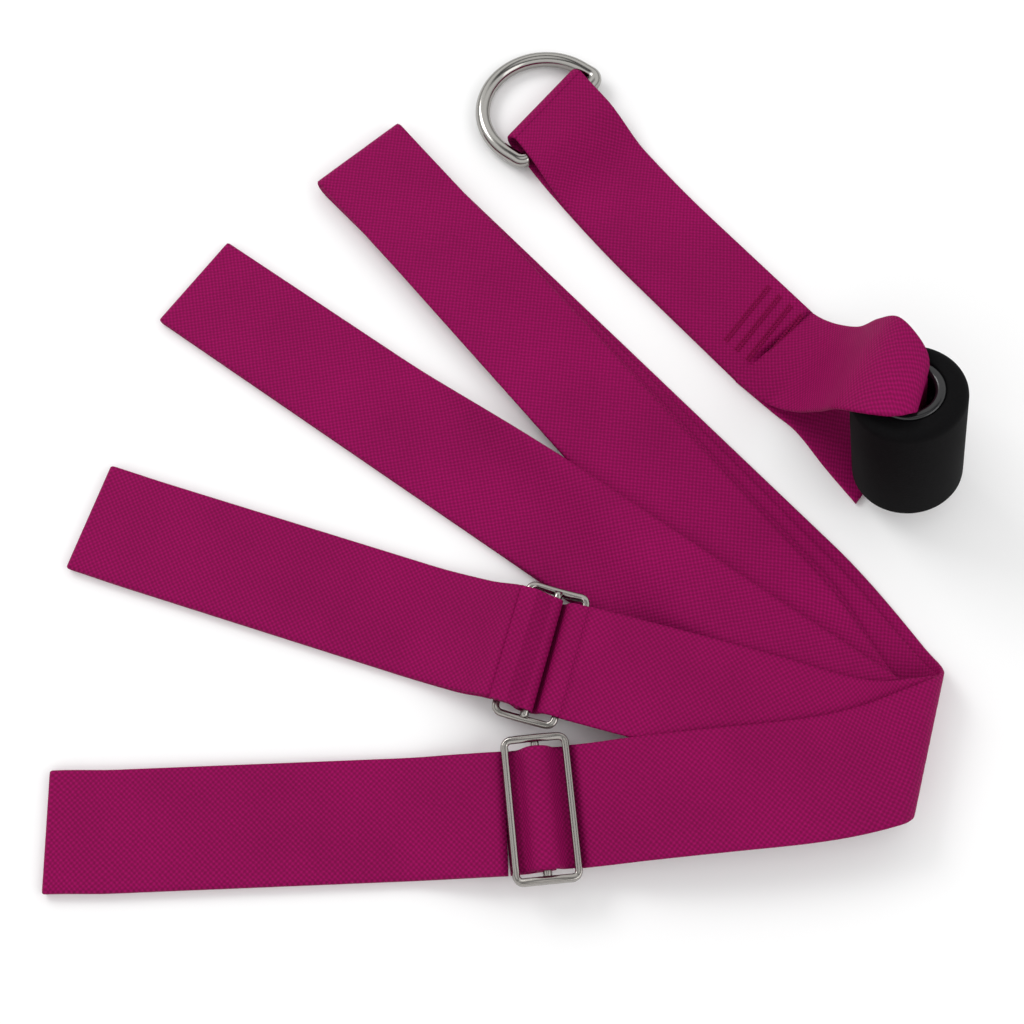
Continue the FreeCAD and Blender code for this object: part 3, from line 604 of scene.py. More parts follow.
def colour_mix(n, factor, low, high):
    """A colour between two, by a factor."""
    mix = n.add("ShaderNodeMix", data_type="RGBA")
    n.link(factor, mix.inputs[0])
    mix.inputs[6].default_value = (*low, 1)
    mix.inputs[7].default_value = (*high, 1)
    return mix.outputs[2]


def bump(n, shader, height, strength, distance):
    """Relief from a height, on a shader's normal."""
    node = n.add("ShaderNodeBump")
    node.inputs["Strength"].default_value = strength
    node.inputs["Distance"].default_value = distance
    n.link(height, node.inputs["Height"])
    n.link(node.outputs[0], shader.inputs["Normal"])


def woven_material(name, gaps, raised, pitch, turn=None, fuzz=0.06):
    """Webbing. turn is the heading of a piece that has no map of its own."""
    material, n, shader = new_material(name)
    if turn is None:
        places = n.add("ShaderNodeUVMap", uv_map="Along").outputs[0]
    else:
        places = turned_space(n, turn)
    weave = group_node(n, "Weave", places)
    weave.inputs["Pitch"].default_value = pitch
    # Painted shade: the colour drops to the darker gap colour where the weave sinks between the
    # raised yarns.
    base = colour_mix(n, weave.outputs["Raised"], gaps, raised)
    shade = n.add("ShaderNodeHueSaturation")
    value = n.math("ADD", n.math("MULTIPLY", weave.outputs["Patch"], 0.4), 0.8)
    n.link(value, shade.inputs["Value"])
    n.link(base, shade.inputs["Color"])
    n.link(shade.outputs[0], shader.inputs["Base Color"])
    shader.inputs["Roughness"].default_value = 0.75
    shader.inputs["Specular IOR Level"].default_value = 0.1
    shader.inputs["Sheen Weight"].default_value = fuzz
    shader.inputs["Sheen Roughness"].default_value = 0.4
    shader.inputs["Sheen Tint"].default_value = (*[min(1, 2.2 * c) for c in raised], 1)
    bump(n, shader, weave.outputs["Height"], 0.7, 0.0003)
    return material


def metal_material(name, colour, roughness):
    """Plated or polished metal, dulled in patches."""
    material, n, shader = new_material(name)
    wear = group_node(n, "Wear", n.object_space())
    shader.inputs["Base Color"].default_value = (*colour, 1)
    shader.inputs["Metallic"].default_value = 1
    rough = n.math("ADD", n.math("MULTIPLY", wear.outputs["Dull"], 0.16), roughness - 0.08)
    n.link(rough, shader.inputs["Roughness"])
    bump(n, shader, wear.outputs["Height"], 0.08, 0.0001)
    return material


def foam_material(name, colour):
    """Dull foam rubber, with painted shade in the sunk pits of its cells."""
    material, n, shader = new_material(name)
    cells = group_node(n, "Foam cells", n.object_space())
    # Painted shade: the colour goes dark where the cell bump sinks and lighter where it rises.
    painted_pit_shade = tuple(0.6 * c for c in colour)
    n.link(colour_mix(n, cells.outputs["Cells"], painted_pit_shade, tuple(1.5 * c for c in colour)),
           shader.inputs["Base Color"])
    shader.inputs["Roughness"].default_value = 0.88
    shader.inputs["Specular IOR Level"].default_value = 0.12
    bump(n, shader, cells.outputs["Cells"], 0.35, 0.0002)
    return material


def plastic_material(name, colour):
    """Glossy plastic, dulled in patches."""
    material, n, shader = new_material(name)
    wear = group_node(n, "Wear", n.object_space())
    shader.inputs["Base Color"].default_value = (*colour, 1)
    n.link(n.math("ADD", n.math("MULTIPLY", wear.outputs["Dull"], 0.2), 0.12),
           shader.inputs["Roughness"])
    return material


def floor_material(name):
    """A plain, nearly white table."""
    material, n, shader = new_material(name)
    grain = n.noise(n.object_space(), 300, 2)
    shader.inputs["Base Color"].default_value = (0.93, 0.93, 0.93, 1)
    shader.inputs["Roughness"].default_value = 0.9
    shader.inputs["Specular IOR Level"].default_value = 0.1
    bump(n, shader, grain, 0.02, 0.0001)
    return material


def cover(piece, material):
    """Gives a piece one material and takes away any other."""
    piece.data.materials.clear()
    piece.data.materials.append(material)


def finish_piece(piece, material, body=None):
    """Covers a piece and, where it has one body, puts it on that body."""
    cover(piece, material)
    if body is not None:
        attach(piece, body)


def material_named(name):
    """A material of the strap, made the first time it is asked for."""
    found = bpy.data.materials.get(name)
    if found is not None:
        return found
    sizes = bpy.context.scene.strap_sizes
    colours = bpy.context.scene.strap_colours
    for title, maker in (("Weave", weave_group), ("Wear", wear_group),
                         ("Foam cells", foam_group)):
        if title not in bpy.data.node_groups:
            maker()
    pitch = sizes.weave_pitch
    made = {
        "woven webbing": lambda: woven_material(name, colours.gaps, colours.webbing, pitch),
        "sewn webbing front": lambda: woven_material(
            name, colours.gaps, colours.webbing, pitch, FRONT.heading),
        "sewn webbing rear": lambda: woven_material(
            name, colours.gaps, colours.webbing, pitch, REAR.heading),
        "sewing thread": lambda: woven_material(name, colours.gaps, colours.thread, 0.0008),
        "plated nickel": lambda: metal_material(name, colours.nickel, 0.22),
        "polished ring": lambda: metal_material(name, colours.ring, 0.14),
        "foam rubber": lambda: foam_material(name, colours.foam),
        "glossy plastic": lambda: plastic_material(name, colours.plastic),
        "studio floor": lambda: floor_material(name),
    }
    return made[name]()


# ------------------------------------------------------------------ where the webbing lies

# All places here are in millimetres and all headings in degrees. PITCH is the height of
# one layer with the gap over it, and TURN_RADII go from the outermost turn inward.

THICK = 1.5
PITCH = 1.85
STACK_MIDDLE = 7.225
LONG_TIP = (-55.0, 108.5)
MID_TIP = (-112.9, 58.5)
LONG_MIDDLE = 3.525
FLAT_MIDDLE = 1.675
TURN_RADII = (6.475, 4.625, 2.775, 0.925)


SLIDE_EDGE = 10.9


class Slide:
    """Where one adjuster sits and how the webbing passes it, in millimetres."""

    def __init__(self, name, x, y, pin, bars, hump, heading, loop, tip, upper, lower,
                 path):
        self.name = name
        self.bars = bars
        self.hump = hump
        self.x, self.y, self.pin = x, y, pin
        self.heading = heading
        self.loop = loop
        self.tip = tip
        self.upper = upper
        self.lower = lower
        self.path = path

    def point(self, reach, side, z):
        """A point by its distance towards the loop, its place across, and its height."""
        spot = np.array([self.x, self.y]) + unit(self.heading) * reach
        spot = spot + unit(self.heading + 90) * side
        return np.array([*spot, z])


HUMP_RADIUS = 4.05
HUMP_START = 0.25


def hump_path(level, pin, side):
    """Heights of the running webbing through a slide, over (1) or under (-1) the bar."""
    hump = [(-HUMP_RADIUS * math.cos(a), pin + side * HUMP_RADIUS * math.sin(a))
            for a in np.linspace(HUMP_START, math.pi - HUMP_START, 13)]
    foot = [(-SLIDE_EDGE, level), (-9.0, level), (-7.2, level + side * 0.15),
            (-5.3, level + side * 1.0)]
    return foot + hump + [(-x, z) for x, z in reversed(foot)]


FRONT = Slide("front", x=8.7, y=-127.7, pin=10.1, bars=10.0, hump=1, heading=185.5,
              loop=182.3, tip=(-144.9, -133.9), upper=[(0, 5.15), (12, 3.75), (33, 0.0)],
              lower=[(0, 3.7), (12, 2.2), (33, 0.0)], path=hump_path(7.75, 10.1, 1))
REAR = Slide("rear", x=9.2, y=-78.2, pin=7.05, bars=7.15, hump=-1, heading=164.1,
             loop=162.2, tip=(-141.6, -29.9), upper=[(0, 10.1), (12, 3.75), (33, 0.0)],
             lower=[(0, 8.65), (12, 2.2), (33, 0.0)], path=hump_path(9.4, 7.05, -1))

RUN_TURN = (124.1, -107.2, STACK_MIDDLE)
FINGER_TURN = (110.5, -100.5, STACK_MIDDLE)
OUTER = Fold(*RUN_TURN, 73.1, TURN_RADII[0])
SECOND = Fold(*RUN_TURN, 71.5, TURN_RADII[1])
THIRD = Fold(*FINGER_TURN, 47.0, TURN_RADII[2])
INNER = Fold(*FINGER_TURN, 47.0, TURN_RADII[3])
LONG_HEADING = 131.0
MID_HEADING = 144.4
LONG_OUTER_TIP = Fold(*LONG_TIP, LONG_MIDDLE, LONG_HEADING + 90, TURN_RADII[2])
LONG_INNER_TIP = Fold(*LONG_TIP, LONG_MIDDLE, LONG_HEADING + 90, TURN_RADII[3])
MID_TIP_FOLD = Fold(*MID_TIP, FLAT_MIDDLE, MID_HEADING + 90, TURN_RADII[3])

# Headings of the long finger's four layers, from the bottom up.

BOTTOM_HEADING = 132.8
LOW_HEADING = 131.5
THIRD_HEADING = 130.05
TOP_HEADING = 129.4


def run_drop(slide, levels):
    """How far the run sinks from the stack to its slide, by distance from the slide."""
    ahead = unit(slide.heading)

    def lift(x, y, top):
        if not top:
            return 0.0
        reach = (np.array([slide.x, slide.y]) - np.array([x, y])) @ ahead
        return knots(levels, reach)

    return lift


DRAPE_EDGE = 19.6
DRAPE_LENGTH = 20.0
DRAPE_LAYERS = 4


def drape(x, y, top):
    """How far the middle finger drops as it leaves the long finger."""
    offset = np.array([x, y]) - np.array(LONG_TIP)
    beyond = offset @ unit(TOP_HEADING + 90) - DRAPE_EDGE
    return -DRAPE_LAYERS * PITCH * ease(beyond / DRAPE_LENGTH)


def top_drape(x, y, top):
    """The same drop on a top layer alone."""
    return drape(x, y, top) if top else 0.0


# ------------------------------------------------------------------ the long webbing

FRONT_RUN_DROP = [(SLIDE_EDGE, -5.95), (16, -5.6), (33.0, -1.8), (62.0, 0.0)]
REAR_RUN_DROP = [(SLIDE_EDGE, -2.45), (16, -2.3), (36.0, -1.0), (62.0, 0.0)]
LONG_TIP_STRETCH = 60.0
LONG_TIP_JOIN = 66
MID_TIP_STRETCH = 20.0
MID_TIP_JOIN = 26
RUN_BENDS_FROM = -16
RUN_BENDS_TO = -88


def web_courses():
    """Each fold's course of webbing, in the order that the webbing takes them."""
    return {
        "outer": Course(OUTER, (FRONT.x, FRONT.y, FRONT.heading),
                        (*LONG_TIP, BOTTOM_HEADING), 3.0, 0.775),
        "second": Course(SECOND, (REAR.x, REAR.y, REAR.heading),
                         (*LONG_TIP, LOW_HEADING), 4.0, 0.475),
        "third": Course(THIRD, (*MID_TIP, MID_HEADING), (*LONG_TIP, THIRD_HEADING)),
        "inner": Course(INNER, (*MID_TIP, MID_HEADING), (*LONG_TIP, TOP_HEADING)),
        "long outer": Course(LONG_OUTER_TIP, (*LONG_TIP, TOP_HEADING),
                             (*LONG_TIP, BOTTOM_HEADING)),
        "long inner": Course(LONG_INNER_TIP, (*LONG_TIP, THIRD_HEADING),
                             (*LONG_TIP, LOW_HEADING)),
        "mid": Course(MID_TIP_FOLD, (*MID_TIP, MID_HEADING), (*MID_TIP, MID_HEADING)),
    }


def slide_run(slide, course, levels, across):
    """The run from a slide to the first fold and on to the long finger's tip."""
    edge = slide.point(-SLIDE_EDGE, 0, 0)
    start = course.top_at(edge[0], edge[1])
    end = course.bottom_at(*LONG_TIP)
    return course.rows(start, end, across, run_drop(slide, levels))


def build_front_run(across):
    """From the front slide round the outer turn and along under the long finger."""
    return slide_run(FRONT, web_courses()["outer"], FRONT_RUN_DROP, across)


def build_rear_run(across):
    """From the rear slide round the second turn, the long finger and its inner tip."""
    courses = web_courses()
    run = slide_run(REAR, courses["second"], REAR_RUN_DROP, across)
    tip = courses["long inner"]
    turn = tip.rows(tip.fold.turn, 0.0, across)
    return joined(run, turn)


def build_long_outer(across):
    """Round the long tip, along the top of the long finger, into the middle finger."""
    courses = web_courses()
    tip, inner = courses["long outer"], courses["inner"]
    first = tip.rows(tip.fold.turn, -LONG_TIP_STRETCH, across)
    meet = LONG_TIP + unit(TOP_HEADING + 180) * LONG_TIP_JOIN
    last = inner.rows(inner.bottom_at(*meet), inner.top_at(*MID_TIP), across, drape)
    return joined(first, last)


def build_mid(across):
    """Round the middle tip, back along its top, and into the long finger."""
    courses = web_courses()
    tip, third = courses["mid"], courses["third"]
    first = tip.rows(tip.fold.turn, -MID_TIP_STRETCH, across)
    meet = MID_TIP + unit(MID_HEADING + 180) * MID_TIP_JOIN
    last = third.rows(third.top_at(*meet), third.bottom_at(*LONG_TIP), across, top_drape)
    return joined(first, last)


class STRAP_OT_long_webbing(bpy.types.Operator):
    """Builds the long webbing: both runs, the long finger and the middle finger"""

    bl_idname = "strap.long_webbing"
    bl_label = "Long webbing"

    def execute(self, context):
        sizes = context.scene.strap_sizes
        thick = sizes.web_thick / MM
        across = across_points(sizes.web_width / MM)
        cloth = material_named("woven webbing")
        front = webbing("front_run_webbing", build_front_run(across), thick)
        rear = webbing("rear_run_webbing", build_rear_run(across), thick, 40)
        long_outer = webbing("long_finger_webbing", build_long_outer(across), thick, 90)
        mid = webbing("middle_finger_webbing", build_mid(across), thick, 130)
        for piece in (front, rear, long_outer, mid):
            finish_piece(piece, cloth)
        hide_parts("front_run", "outer_turn", "long_finger_bottom")
        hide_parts("rear_run", "second_turn", "long_finger_second", "long_tip_inner")
        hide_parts("long_tip_outer", "long_finger_top", "inner_turn",
                    "mid_finger_lower")
        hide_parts("mid_finger_tip", "mid_finger_upper", "third_turn",
                    "long_finger_third")
        for piece, slide in ((front, FRONT), (rear, REAR)):
            near = slide.point(RUN_BENDS_FROM, 0, 0) * MM
            far = slide.point(RUN_BENDS_TO, 0, 0) * MM
            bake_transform(piece)
        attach(long_outer, "webbing")
        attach(mid, "webbing")
        return {"FINISHED"}


# ------------------------------------------------------------------ loops and slides

LOOP_REACH = 20.0
LOOP_BENDS_FROM = 24


def loop_course(slide):
    """The course of a foot loop, from its slide round its tip and back."""
    fold = Fold(*slide.tip, FLAT_MIDDLE, slide.loop + 90, TURN_RADII[3])
    start = slide.point(SLIDE_EDGE, 0, 0)
    line = (start[0], start[1], slide.loop)
    return Course(fold, line, line, reach=LOOP_REACH)


def loop_lift(slide):
    """Rise of both layers of a loop towards its slide."""
    begin = slide.point(SLIDE_EDGE, 0, 0)[:2]
    ahead = unit(slide.loop)

    def lift(x, y, top):
        reach = (np.array([x, y]) - begin) @ ahead
        return knots(slide.upper if top else slide.lower, reach)

    return lift


def build_loop(slide, across):
    """Rows of a loop's top layer with its tip, and of its bottom layer."""
    course = loop_course(slide)
    start = slide.point(SLIDE_EDGE, 0, 0)
    lift = loop_lift(slide)
    top = course.rows(course.top_at(start[0], start[1]), course.fold.turn, across, lift)
    low = course.rows(course.fold.turn, course.bottom_at(start[0], start[1]), across, lift)
    return top, low


class STRAP_OT_loops(bpy.types.Operator):
    """Builds the two layers of each foot loop"""

    bl_idname = "strap.loops"
    bl_label = "Foot loops"

    def execute(self, context):
        sizes = context.scene.strap_sizes
        thick = sizes.web_thick / MM
        across = across_points(sizes.web_width / MM)
        for slide in (FRONT, REAR):
            top, low = build_loop(slide, across)
            upper = webbing(f"{slide.name}_loop_upper_layer", top, thick, 15)
            lower = webbing(f"{slide.name}_loop_lower_layer", low, thick, 55)
            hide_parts(f"{slide.name}_loop_upper", f"{slide.name}_loop_tip")
            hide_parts(f"{slide.name}_loop_lower")
            begin = slide.point(LOOP_BENDS_FROM, 0, 0) * MM
            for piece in (upper, lower):
                finish_piece(piece, material_named("woven webbing"))
                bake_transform(piece)
        return {"FINISHED"}


def threaded_rows(slide, across):
    """The running webbing through a slide, from its run to its loop."""
    path = np.array([(x, 0.0, z) for x, z in slide.path])
    fine = curve_through(path, 46)
    return [np.array([slide.point(x, w, z) for w in across]) for x, _, z in fine]


FRAME_LENGTH = 21.7
FRAME_ACROSS = 46.4
FRAME_BAR = 2.4
FRAME_PLATE = 2.8
FRAME_CORNER = 2.2
FRAME_RISE = 1.2
FRAME_RISE_EDGE = 1.2
FRAME_POINT_GAP = 1.2
FRAME_HALF_TALL = 1.3
FRAME_SQUARENESS = 0.62
PIN_RADIUS = 1.4
PIN_HALF_LENGTH = 21.6
THREADED_NARROWER = 0.4


def frame_path(slide, base):
    """The centre line of a slide's frame: two side bars joined by humped end plates."""
    half_x = (FRAME_LENGTH - FRAME_BAR) / 2
    half_y = (FRAME_ACROSS - FRAME_PLATE) / 2
    turn = FRAME_CORNER
    path = []
    for sign_x, sign_y, start in ((1, 1, 0), (-1, 1, 90), (-1, -1, 180), (1, -1, 270)):
        path += arc(sign_x * (half_x - turn), sign_y * (half_y - turn), turn,
                    start, start + 90, 7)
    fine = []
    for here, ahead in zip(path, path[1:] + path[:1]):
        steps = max(1, int(np.linalg.norm(np.subtract(ahead, here)) / FRAME_POINT_GAP))
        for t in range(steps):
            fine.append(np.array(here) + (np.subtract(ahead, here)) * t / steps)
    points = []
    for x, y in fine:
        end = ease((abs(y) - half_y + FRAME_RISE_EDGE) / FRAME_RISE_EDGE)
        rise = slide.hump * end * FRAME_RISE * (1 - (x / half_x) ** 2)
        points.append(slide.point(x, y, base + rise))
    return points


class STRAP_OT_slides(bpy.types.Operator):
    """Builds both adjusters: plated frame, centre bar and the webbing threaded through"""

    bl_idname = "strap.slides"
    bl_label = "Slides"

    def execute(self, context):
        sizes = context.scene.strap_sizes
        thick = sizes.web_thick / MM
        across = across_points(sizes.web_width / MM - THREADED_NARROWER)
        for slide in (FRONT, REAR):
            body = f"{slide.name}_slide"
            plated = tube(f"{slide.name}_plated_frame", frame_path(slide, slide.bars), 1.0,
                          sides=16, halves=(FRAME_BAR / 2, FRAME_HALF_TALL),
                          power=FRAME_SQUARENESS)
            finish_piece(plated, material_named("plated nickel"), body)
            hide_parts(f"{slide.name}_slide_frame")
            line = [slide.point(0, y, slide.pin)
                    for y in np.linspace(-PIN_HALF_LENGTH, PIN_HALF_LENGTH, 30)]
            pin = tube(f"{slide.name}_turned_bar", line, PIN_RADIUS, closed=False)
            finish_piece(pin, material_named("plated nickel"), body)
            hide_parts(f"{slide.name}_centre_bar")
            cover(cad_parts[f"{slide.name}_sewn_end"],
                  material_named(f"sewn webbing {slide.name}"))
            strip = webbing(f"{slide.name}_strip_in_slide", threaded_rows(slide, across),
                            thick)
            finish_piece(strip, material_named("woven webbing"), body)
            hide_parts(f"{slide.name}_threaded_webbing")
        return {"FINISHED"}


# ------------------------------------------------------------------ door strap

EYE = (13.3, 129.1)
EYE_DIRECTION = 50.2
EYE_MIDDLE = 4.4
EYE_RADIUS = 3.65
EYE_REACH = 70.0
EYE_SQUARE = 30.0
DOOR_FAR = (74.4, 53.6)
DOOR_HEADING = 311.8
EYE_HEADING = 306.0
UPPER_EYE_DROP = [(0, 0.0), (12, 0.0), (36, -5.45)]

# The climb onto the roller and the stretch under it twist, so each is held by its two edges.

CLIMB_START = (92.0, 33.6)
CLIMB_ROWS = 60
CLIMB_BULGE = 1.5
UNDERPASS_ROWS = 30
CLIMB_FAR_EDGE = [(106.0, 46.5, 2.6), (109.5, 42.0, 6), (113.5, 36.5, 13), (116.9, 29.5, 26),
                  (118.9, 24.4, 42), (121.9, 18.9, 53.5), (127.2, 8.2, 56.5),
                  (128.0, 1.0, 55.5), (125.5, -3.0, 49)]
CLIMB_NEAR_EDGE = [(78.0, 20.8, 2.6), (85.5, 13.6, 2.6), (91.0, 9.5, 4.0), (96.5, 4.5, 12),
                   (100.5, -2.0, 28), (101.5, -8.0, 44), (106.5, -14.0, 55),
                   (114.5, -17.0, 59.5), (121.5, -15.5, 58.5), (123.2, -11.5, 49)]
UNDERPASS_FAR_EDGE = [(106.0, 46.5, 0.75), (116.0, 30.0, 0.75), (124.0, 8.0, 0.75),
                      (130.0, -7.0, 0.75)]
UNDERPASS_NEAR_EDGE = [(78.0, 20.8, 0.75), (90.0, 9.3, 0.75), (98.1, 1.7, 0.75),
                       (107.0, -11.5, 0.75), (116.5, -24.5, 0.75)]


def door_course():
    """The course of the door strap round the ring's bar."""
    fold = Fold(*EYE, EYE_MIDDLE, EYE_DIRECTION + 180, EYE_RADIUS)
    return EyeCourse(fold, (*DOOR_FAR, DOOR_HEADING), EYE_HEADING, EYE_REACH, EYE_SQUARE)


def eye_lift(x, y, top):
    """The upper layer comes down from the eye onto the lower one."""
    if not top:
        return 0.0
    reach = (np.array([x, y]) - np.array(EYE)) @ unit(DOOR_HEADING)
    return knots(UPPER_EYE_DROP, reach)


def edge_rows(far, near, count, across, bulge):
    """Rows between two edge curves, bowed out by up to bulge in their middle."""
    a = curve_through(far, count)
    b = curve_through(near, count)
    half = across[-1]
    rows = []
    for i in range(count):
        share = np.array([(w / half + 1) / 2 for w in across])[:, None]
        row = a[i] * (1 - share) + b[i] * share
        row[:, 2] += (bulge * math.sin(math.pi * i / (count - 1))
                      * np.sin(math.pi * share[:, 0]))
        rows.append(row)
    return rows


class STRAP_OT_door_strap(bpy.types.Operator):
    """Builds the short door strap from its eye to the roller"""

    bl_idname = "strap.door_strap"
    bl_label = "Door strap"

    def execute(self, context):
        sizes = context.scene.strap_sizes
        thick = sizes.web_thick / MM
        across = across_points(sizes.web_width / MM)
        cloth = material_named("woven webbing")
        course = door_course()
        end = course.top_at(*CLIMB_START)
        upper_rows = course.rows(0.0, end, across, eye_lift)
        climb = edge_rows(CLIMB_FAR_EDGE, CLIMB_NEAR_EDGE, CLIMB_ROWS, across, CLIMB_BULGE)
        upper = webbing("door_strap_upper_layer", joined(upper_rows, climb), thick)
        turn = webbing("door_strap_ring_eye", course.rows(0.0, course.fold.turn, across,
                                                          eye_lift), thick, 7)
        low_end = course.bottom_at(*CLIMB_START)
        low_rows = course.rows(course.fold.turn, low_end, across)
        under = edge_rows(UNDERPASS_FAR_EDGE, UNDERPASS_NEAR_EDGE, UNDERPASS_ROWS, across, 0.0)
        lower = webbing("door_strap_lower_layer", joined(low_rows, under), thick, 21)
        for piece in (upper, turn, lower):
            finish_piece(piece, cloth, "door_strap")
        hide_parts("door_strap_upper", "door_strap_climb", "door_strap_crown")
        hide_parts("door_strap_eye")
        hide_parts("door_strap_lower", "door_strap_underpass")
        cover(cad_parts["door_strap_core"], material_named("sewn webbing front"))
        return {"FINISHED"}


TACK_START = (91.6, 56.9)
TACK_ACROSS = (74.5, 34.9)
TACK_END = (102.4, 45.7)
TACK_ROWS = 4
TACK_LANE = 0.55
TACK_SUNK = 0.12
STITCH_PLACES = (-0.5, -0.25, 0.0, 0.25, 0.5)
STITCH_SIDES = 6
STITCH_LENGTH_SHARE = 0.96
STITCH_HALF_WIDTH = 0.62
STITCH_HEIGHT = 0.42
STITCH_TAPER = 0.6


def stitch_points(middle, ahead, pitch, height):
    """Points of one rounded stitch, as arches one after another along it."""
    side = np.array([-ahead[1], ahead[0]])
    points = []
    for along in STITCH_PLACES:
        swell = 1 - (2 * along) ** 2 * STITCH_TAPER
        for k in range(STITCH_SIDES):
            angle = math.pi * k / (STITCH_SIDES - 1)
            spot = middle + ahead * along * pitch * STITCH_LENGTH_SHARE
            spot = spot + side * STITCH_HALF_WIDTH * math.cos(angle) * swell
            points.append(np.array([*spot, height + STITCH_HEIGHT * math.sin(angle) * swell]))
    return points


def stitch_faces(base):
    """Faces that close one stitch whose points start at base."""
    sides = STITCH_SIDES
    last = base + (len(STITCH_PLACES) - 1) * sides
    faces = []
    for row in range(base, last, sides):
        for k in range(sides):
            m = (k + 1) % sides
            faces.append((row + k, row + m, row + sides + m, row + sides + k))
    faces.append(tuple(base + k for k in range(sides)))
    faces.append(tuple(last + k for k in reversed(range(sides))))
    return faces


def stitch_row(start, end, pitch, height):
    """Rounded stitches end to end along a row, as (vertices, faces, uvs) in mm."""
    start, end = np.array(start, float), np.array(end, float)
    length = np.linalg.norm(end - start)
    ahead = (end - start) / length
    vertices, faces, uvs = [], [], []
    for i in range(int(length / pitch)):
        faces += stitch_faces(len(vertices))
        middle = start + ahead * (i + 0.5) * pitch
        vertices += [p * MM for p in stitch_points(middle, ahead, pitch, height)]
        uvs += [((i + along) * pitch * MM, k * 0.4 * MM)
                for along in STITCH_PLACES for k in range(STITCH_SIDES)]
    return vertices, faces, uvs


class STRAP_OT_bar_tacks(bpy.types.Operator):
    """Sews the four bar tacks that join the door strap's layers"""

    bl_idname = "strap.bar_tacks"
    bl_label = "Bar tacks"

    def execute(self, context):
        sizes = context.scene.strap_sizes
        pitch = sizes.stitch_length / MM
        step = (np.array(TACK_END) - np.array(TACK_START)) / (TACK_ROWS - 1)
        height = PITCH + THICK - TACK_SUNK
        for row in range(TACK_ROWS):
            start = np.array(TACK_START) + step * row
            end = np.array(TACK_ACROSS) + step * row
            for lane in (-TACK_LANE, TACK_LANE):
                shift = step / np.linalg.norm(step) * lane
                vertices, faces, uvs = stitch_row(start + shift, end + shift, pitch, height)
                side = "left" if lane < 0 else "right"
                piece = new_object(f"bar_tack_{row + 1}_{side}", vertices, faces, uvs)
                finish_piece(piece, material_named("sewing thread"), "door_strap")
        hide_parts("door_strap_bar_tacks")
        return {"FINISHED"}


# ------------------------------------------------------------------ ring and roller

RING_CENTRE = (17.91, 125.26, 4.4)
RING_BAR = 53.0
RING_RADIUS = 23.1
RING_ARM = 7.6
RING_WIRE = 2.7
RING_TILT = 3.42
RING_CORNER = 3.0
RING_STRAIGHT_SHARE = 7 / 9


def ring_path():
    """The centre line of the D-shaped ring: bar, corner, arm, bow, arm and corner."""
    bar = np.array([*unit(RING_BAR), 0.0])
    flat = unit(RING_BAR + 90)
    tilt = math.radians(RING_TILT)
    out = np.array([*(flat * math.cos(tilt)), -math.sin(tilt)])
    centre = np.array(RING_CENTRE)
    half, corner = RING_RADIUS, RING_CORNER
    straight = half * RING_STRAIGHT_SHARE
    rising = [0.5 * RING_ARM, 0.75 * RING_ARM, RING_ARM]
    line = [(x, 0.0) for x in np.linspace(straight, -straight, 15)]
    line += arc(corner - half, corner, corner, -90, -180, 7)
    line += [(-half, y) for y in rising]
    line += arc(0.0, RING_ARM, half, 180, 0, 49)[1:-1]
    line += [(half, y) for y in reversed(rising)]
    line += arc(half - corner, corner, corner, 0, -90, 7)
    return [centre + bar * x + out * y for x, y in line]


class STRAP_OT_ring(bpy.types.Operator):
    """Bends the polished D-ring held in the door strap's eye"""

    bl_idname = "strap.ring"
    bl_label = "D-ring"

    def execute(self, context):
        ring = tube("d_ring_wire", ring_path(), RING_WIRE, sides=24)
        finish_piece(ring, material_named("polished ring"), "d_ring")
        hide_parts("d_ring")
        return {"FINISHED"}


ROLLER_FOOT = np.array([132.94, -15.01, 7.13])
ROLLER_AXIS = np.array([-0.2227, 0.1869, 0.9568])
ROLLER_LENGTH = 49.6
FOAM_OUTER = 18.0
FOAM_INNER = 11.35
FOAM_ROUND = 3.4
FOAM_INSET = 0.3
FOAM_LIP = 0.8
TUBE_INNER = 8.0
TUBE_ROUND = 1.3


def roller_frame():
    """The roller's foot, its axis and a direction square to it."""
    axis = ROLLER_AXIS / np.linalg.norm(ROLLER_AXIS)
    first = np.cross(axis, [0.0, 1.0, 0.0])
    first /= np.linalg.norm(first)
    return ROLLER_FOOT, axis, first


def rounded_sleeve(inner, outer, low, high, rim, lip):
    """Half profile of a sleeve with rounded rims, as (radius, height)."""
    profile = []
    corners = [(outer - rim, high - rim, rim, 90, 0), (outer - rim, low + rim, rim, 0, -90),
               (inner + lip, low + lip, lip, -90, -180),
               (inner + lip, high - lip, lip, 180, 90)]
    for corner in corners:
        profile += arc(*corner, 8)
    return profile


class STRAP_OT_roller(bpy.types.Operator):
    """Turns the door roller: a foam sleeve on a glossy plastic tube"""

    bl_idname = "strap.roller"
    bl_label = "Roller"

    def execute(self, context):
        placing = roller_frame()
        foam = turned("roller_foam", rounded_sleeve(
            FOAM_INNER, FOAM_OUTER, FOAM_INSET, ROLLER_LENGTH - FOAM_INSET, FOAM_ROUND,
            FOAM_LIP), placing)
        finish_piece(foam, material_named("foam rubber"), "anchor_roller")
        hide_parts("roller_foam_sleeve")
        inner = turned("roller_glossy_tube", rounded_sleeve(
            TUBE_INNER, FOAM_INNER, 0.0, ROLLER_LENGTH, TUBE_ROUND, TUBE_ROUND), placing)
        finish_piece(inner, material_named("glossy plastic"),
                     "anchor_roller")
        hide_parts("roller_tube")
        return {"FINISHED"}


# ------------------------------------------------------------------ stage

FLOOR_HALF = 3.0
WALL_LEVELS = ((0.0, 0.30), (0.25, 0.60), (0.5, 1.0), (0.78, 1.0), (0.90, 0.07), (1.0, 0.05))
ROOM_STRENGTH = 1.15
CAMERA_PLACE = (-0.0003, -0.1842, 0.4565)
CAMERA_TILT = 18.98
CAMERA_LENS = 50
CAMERA_SENSOR = 36


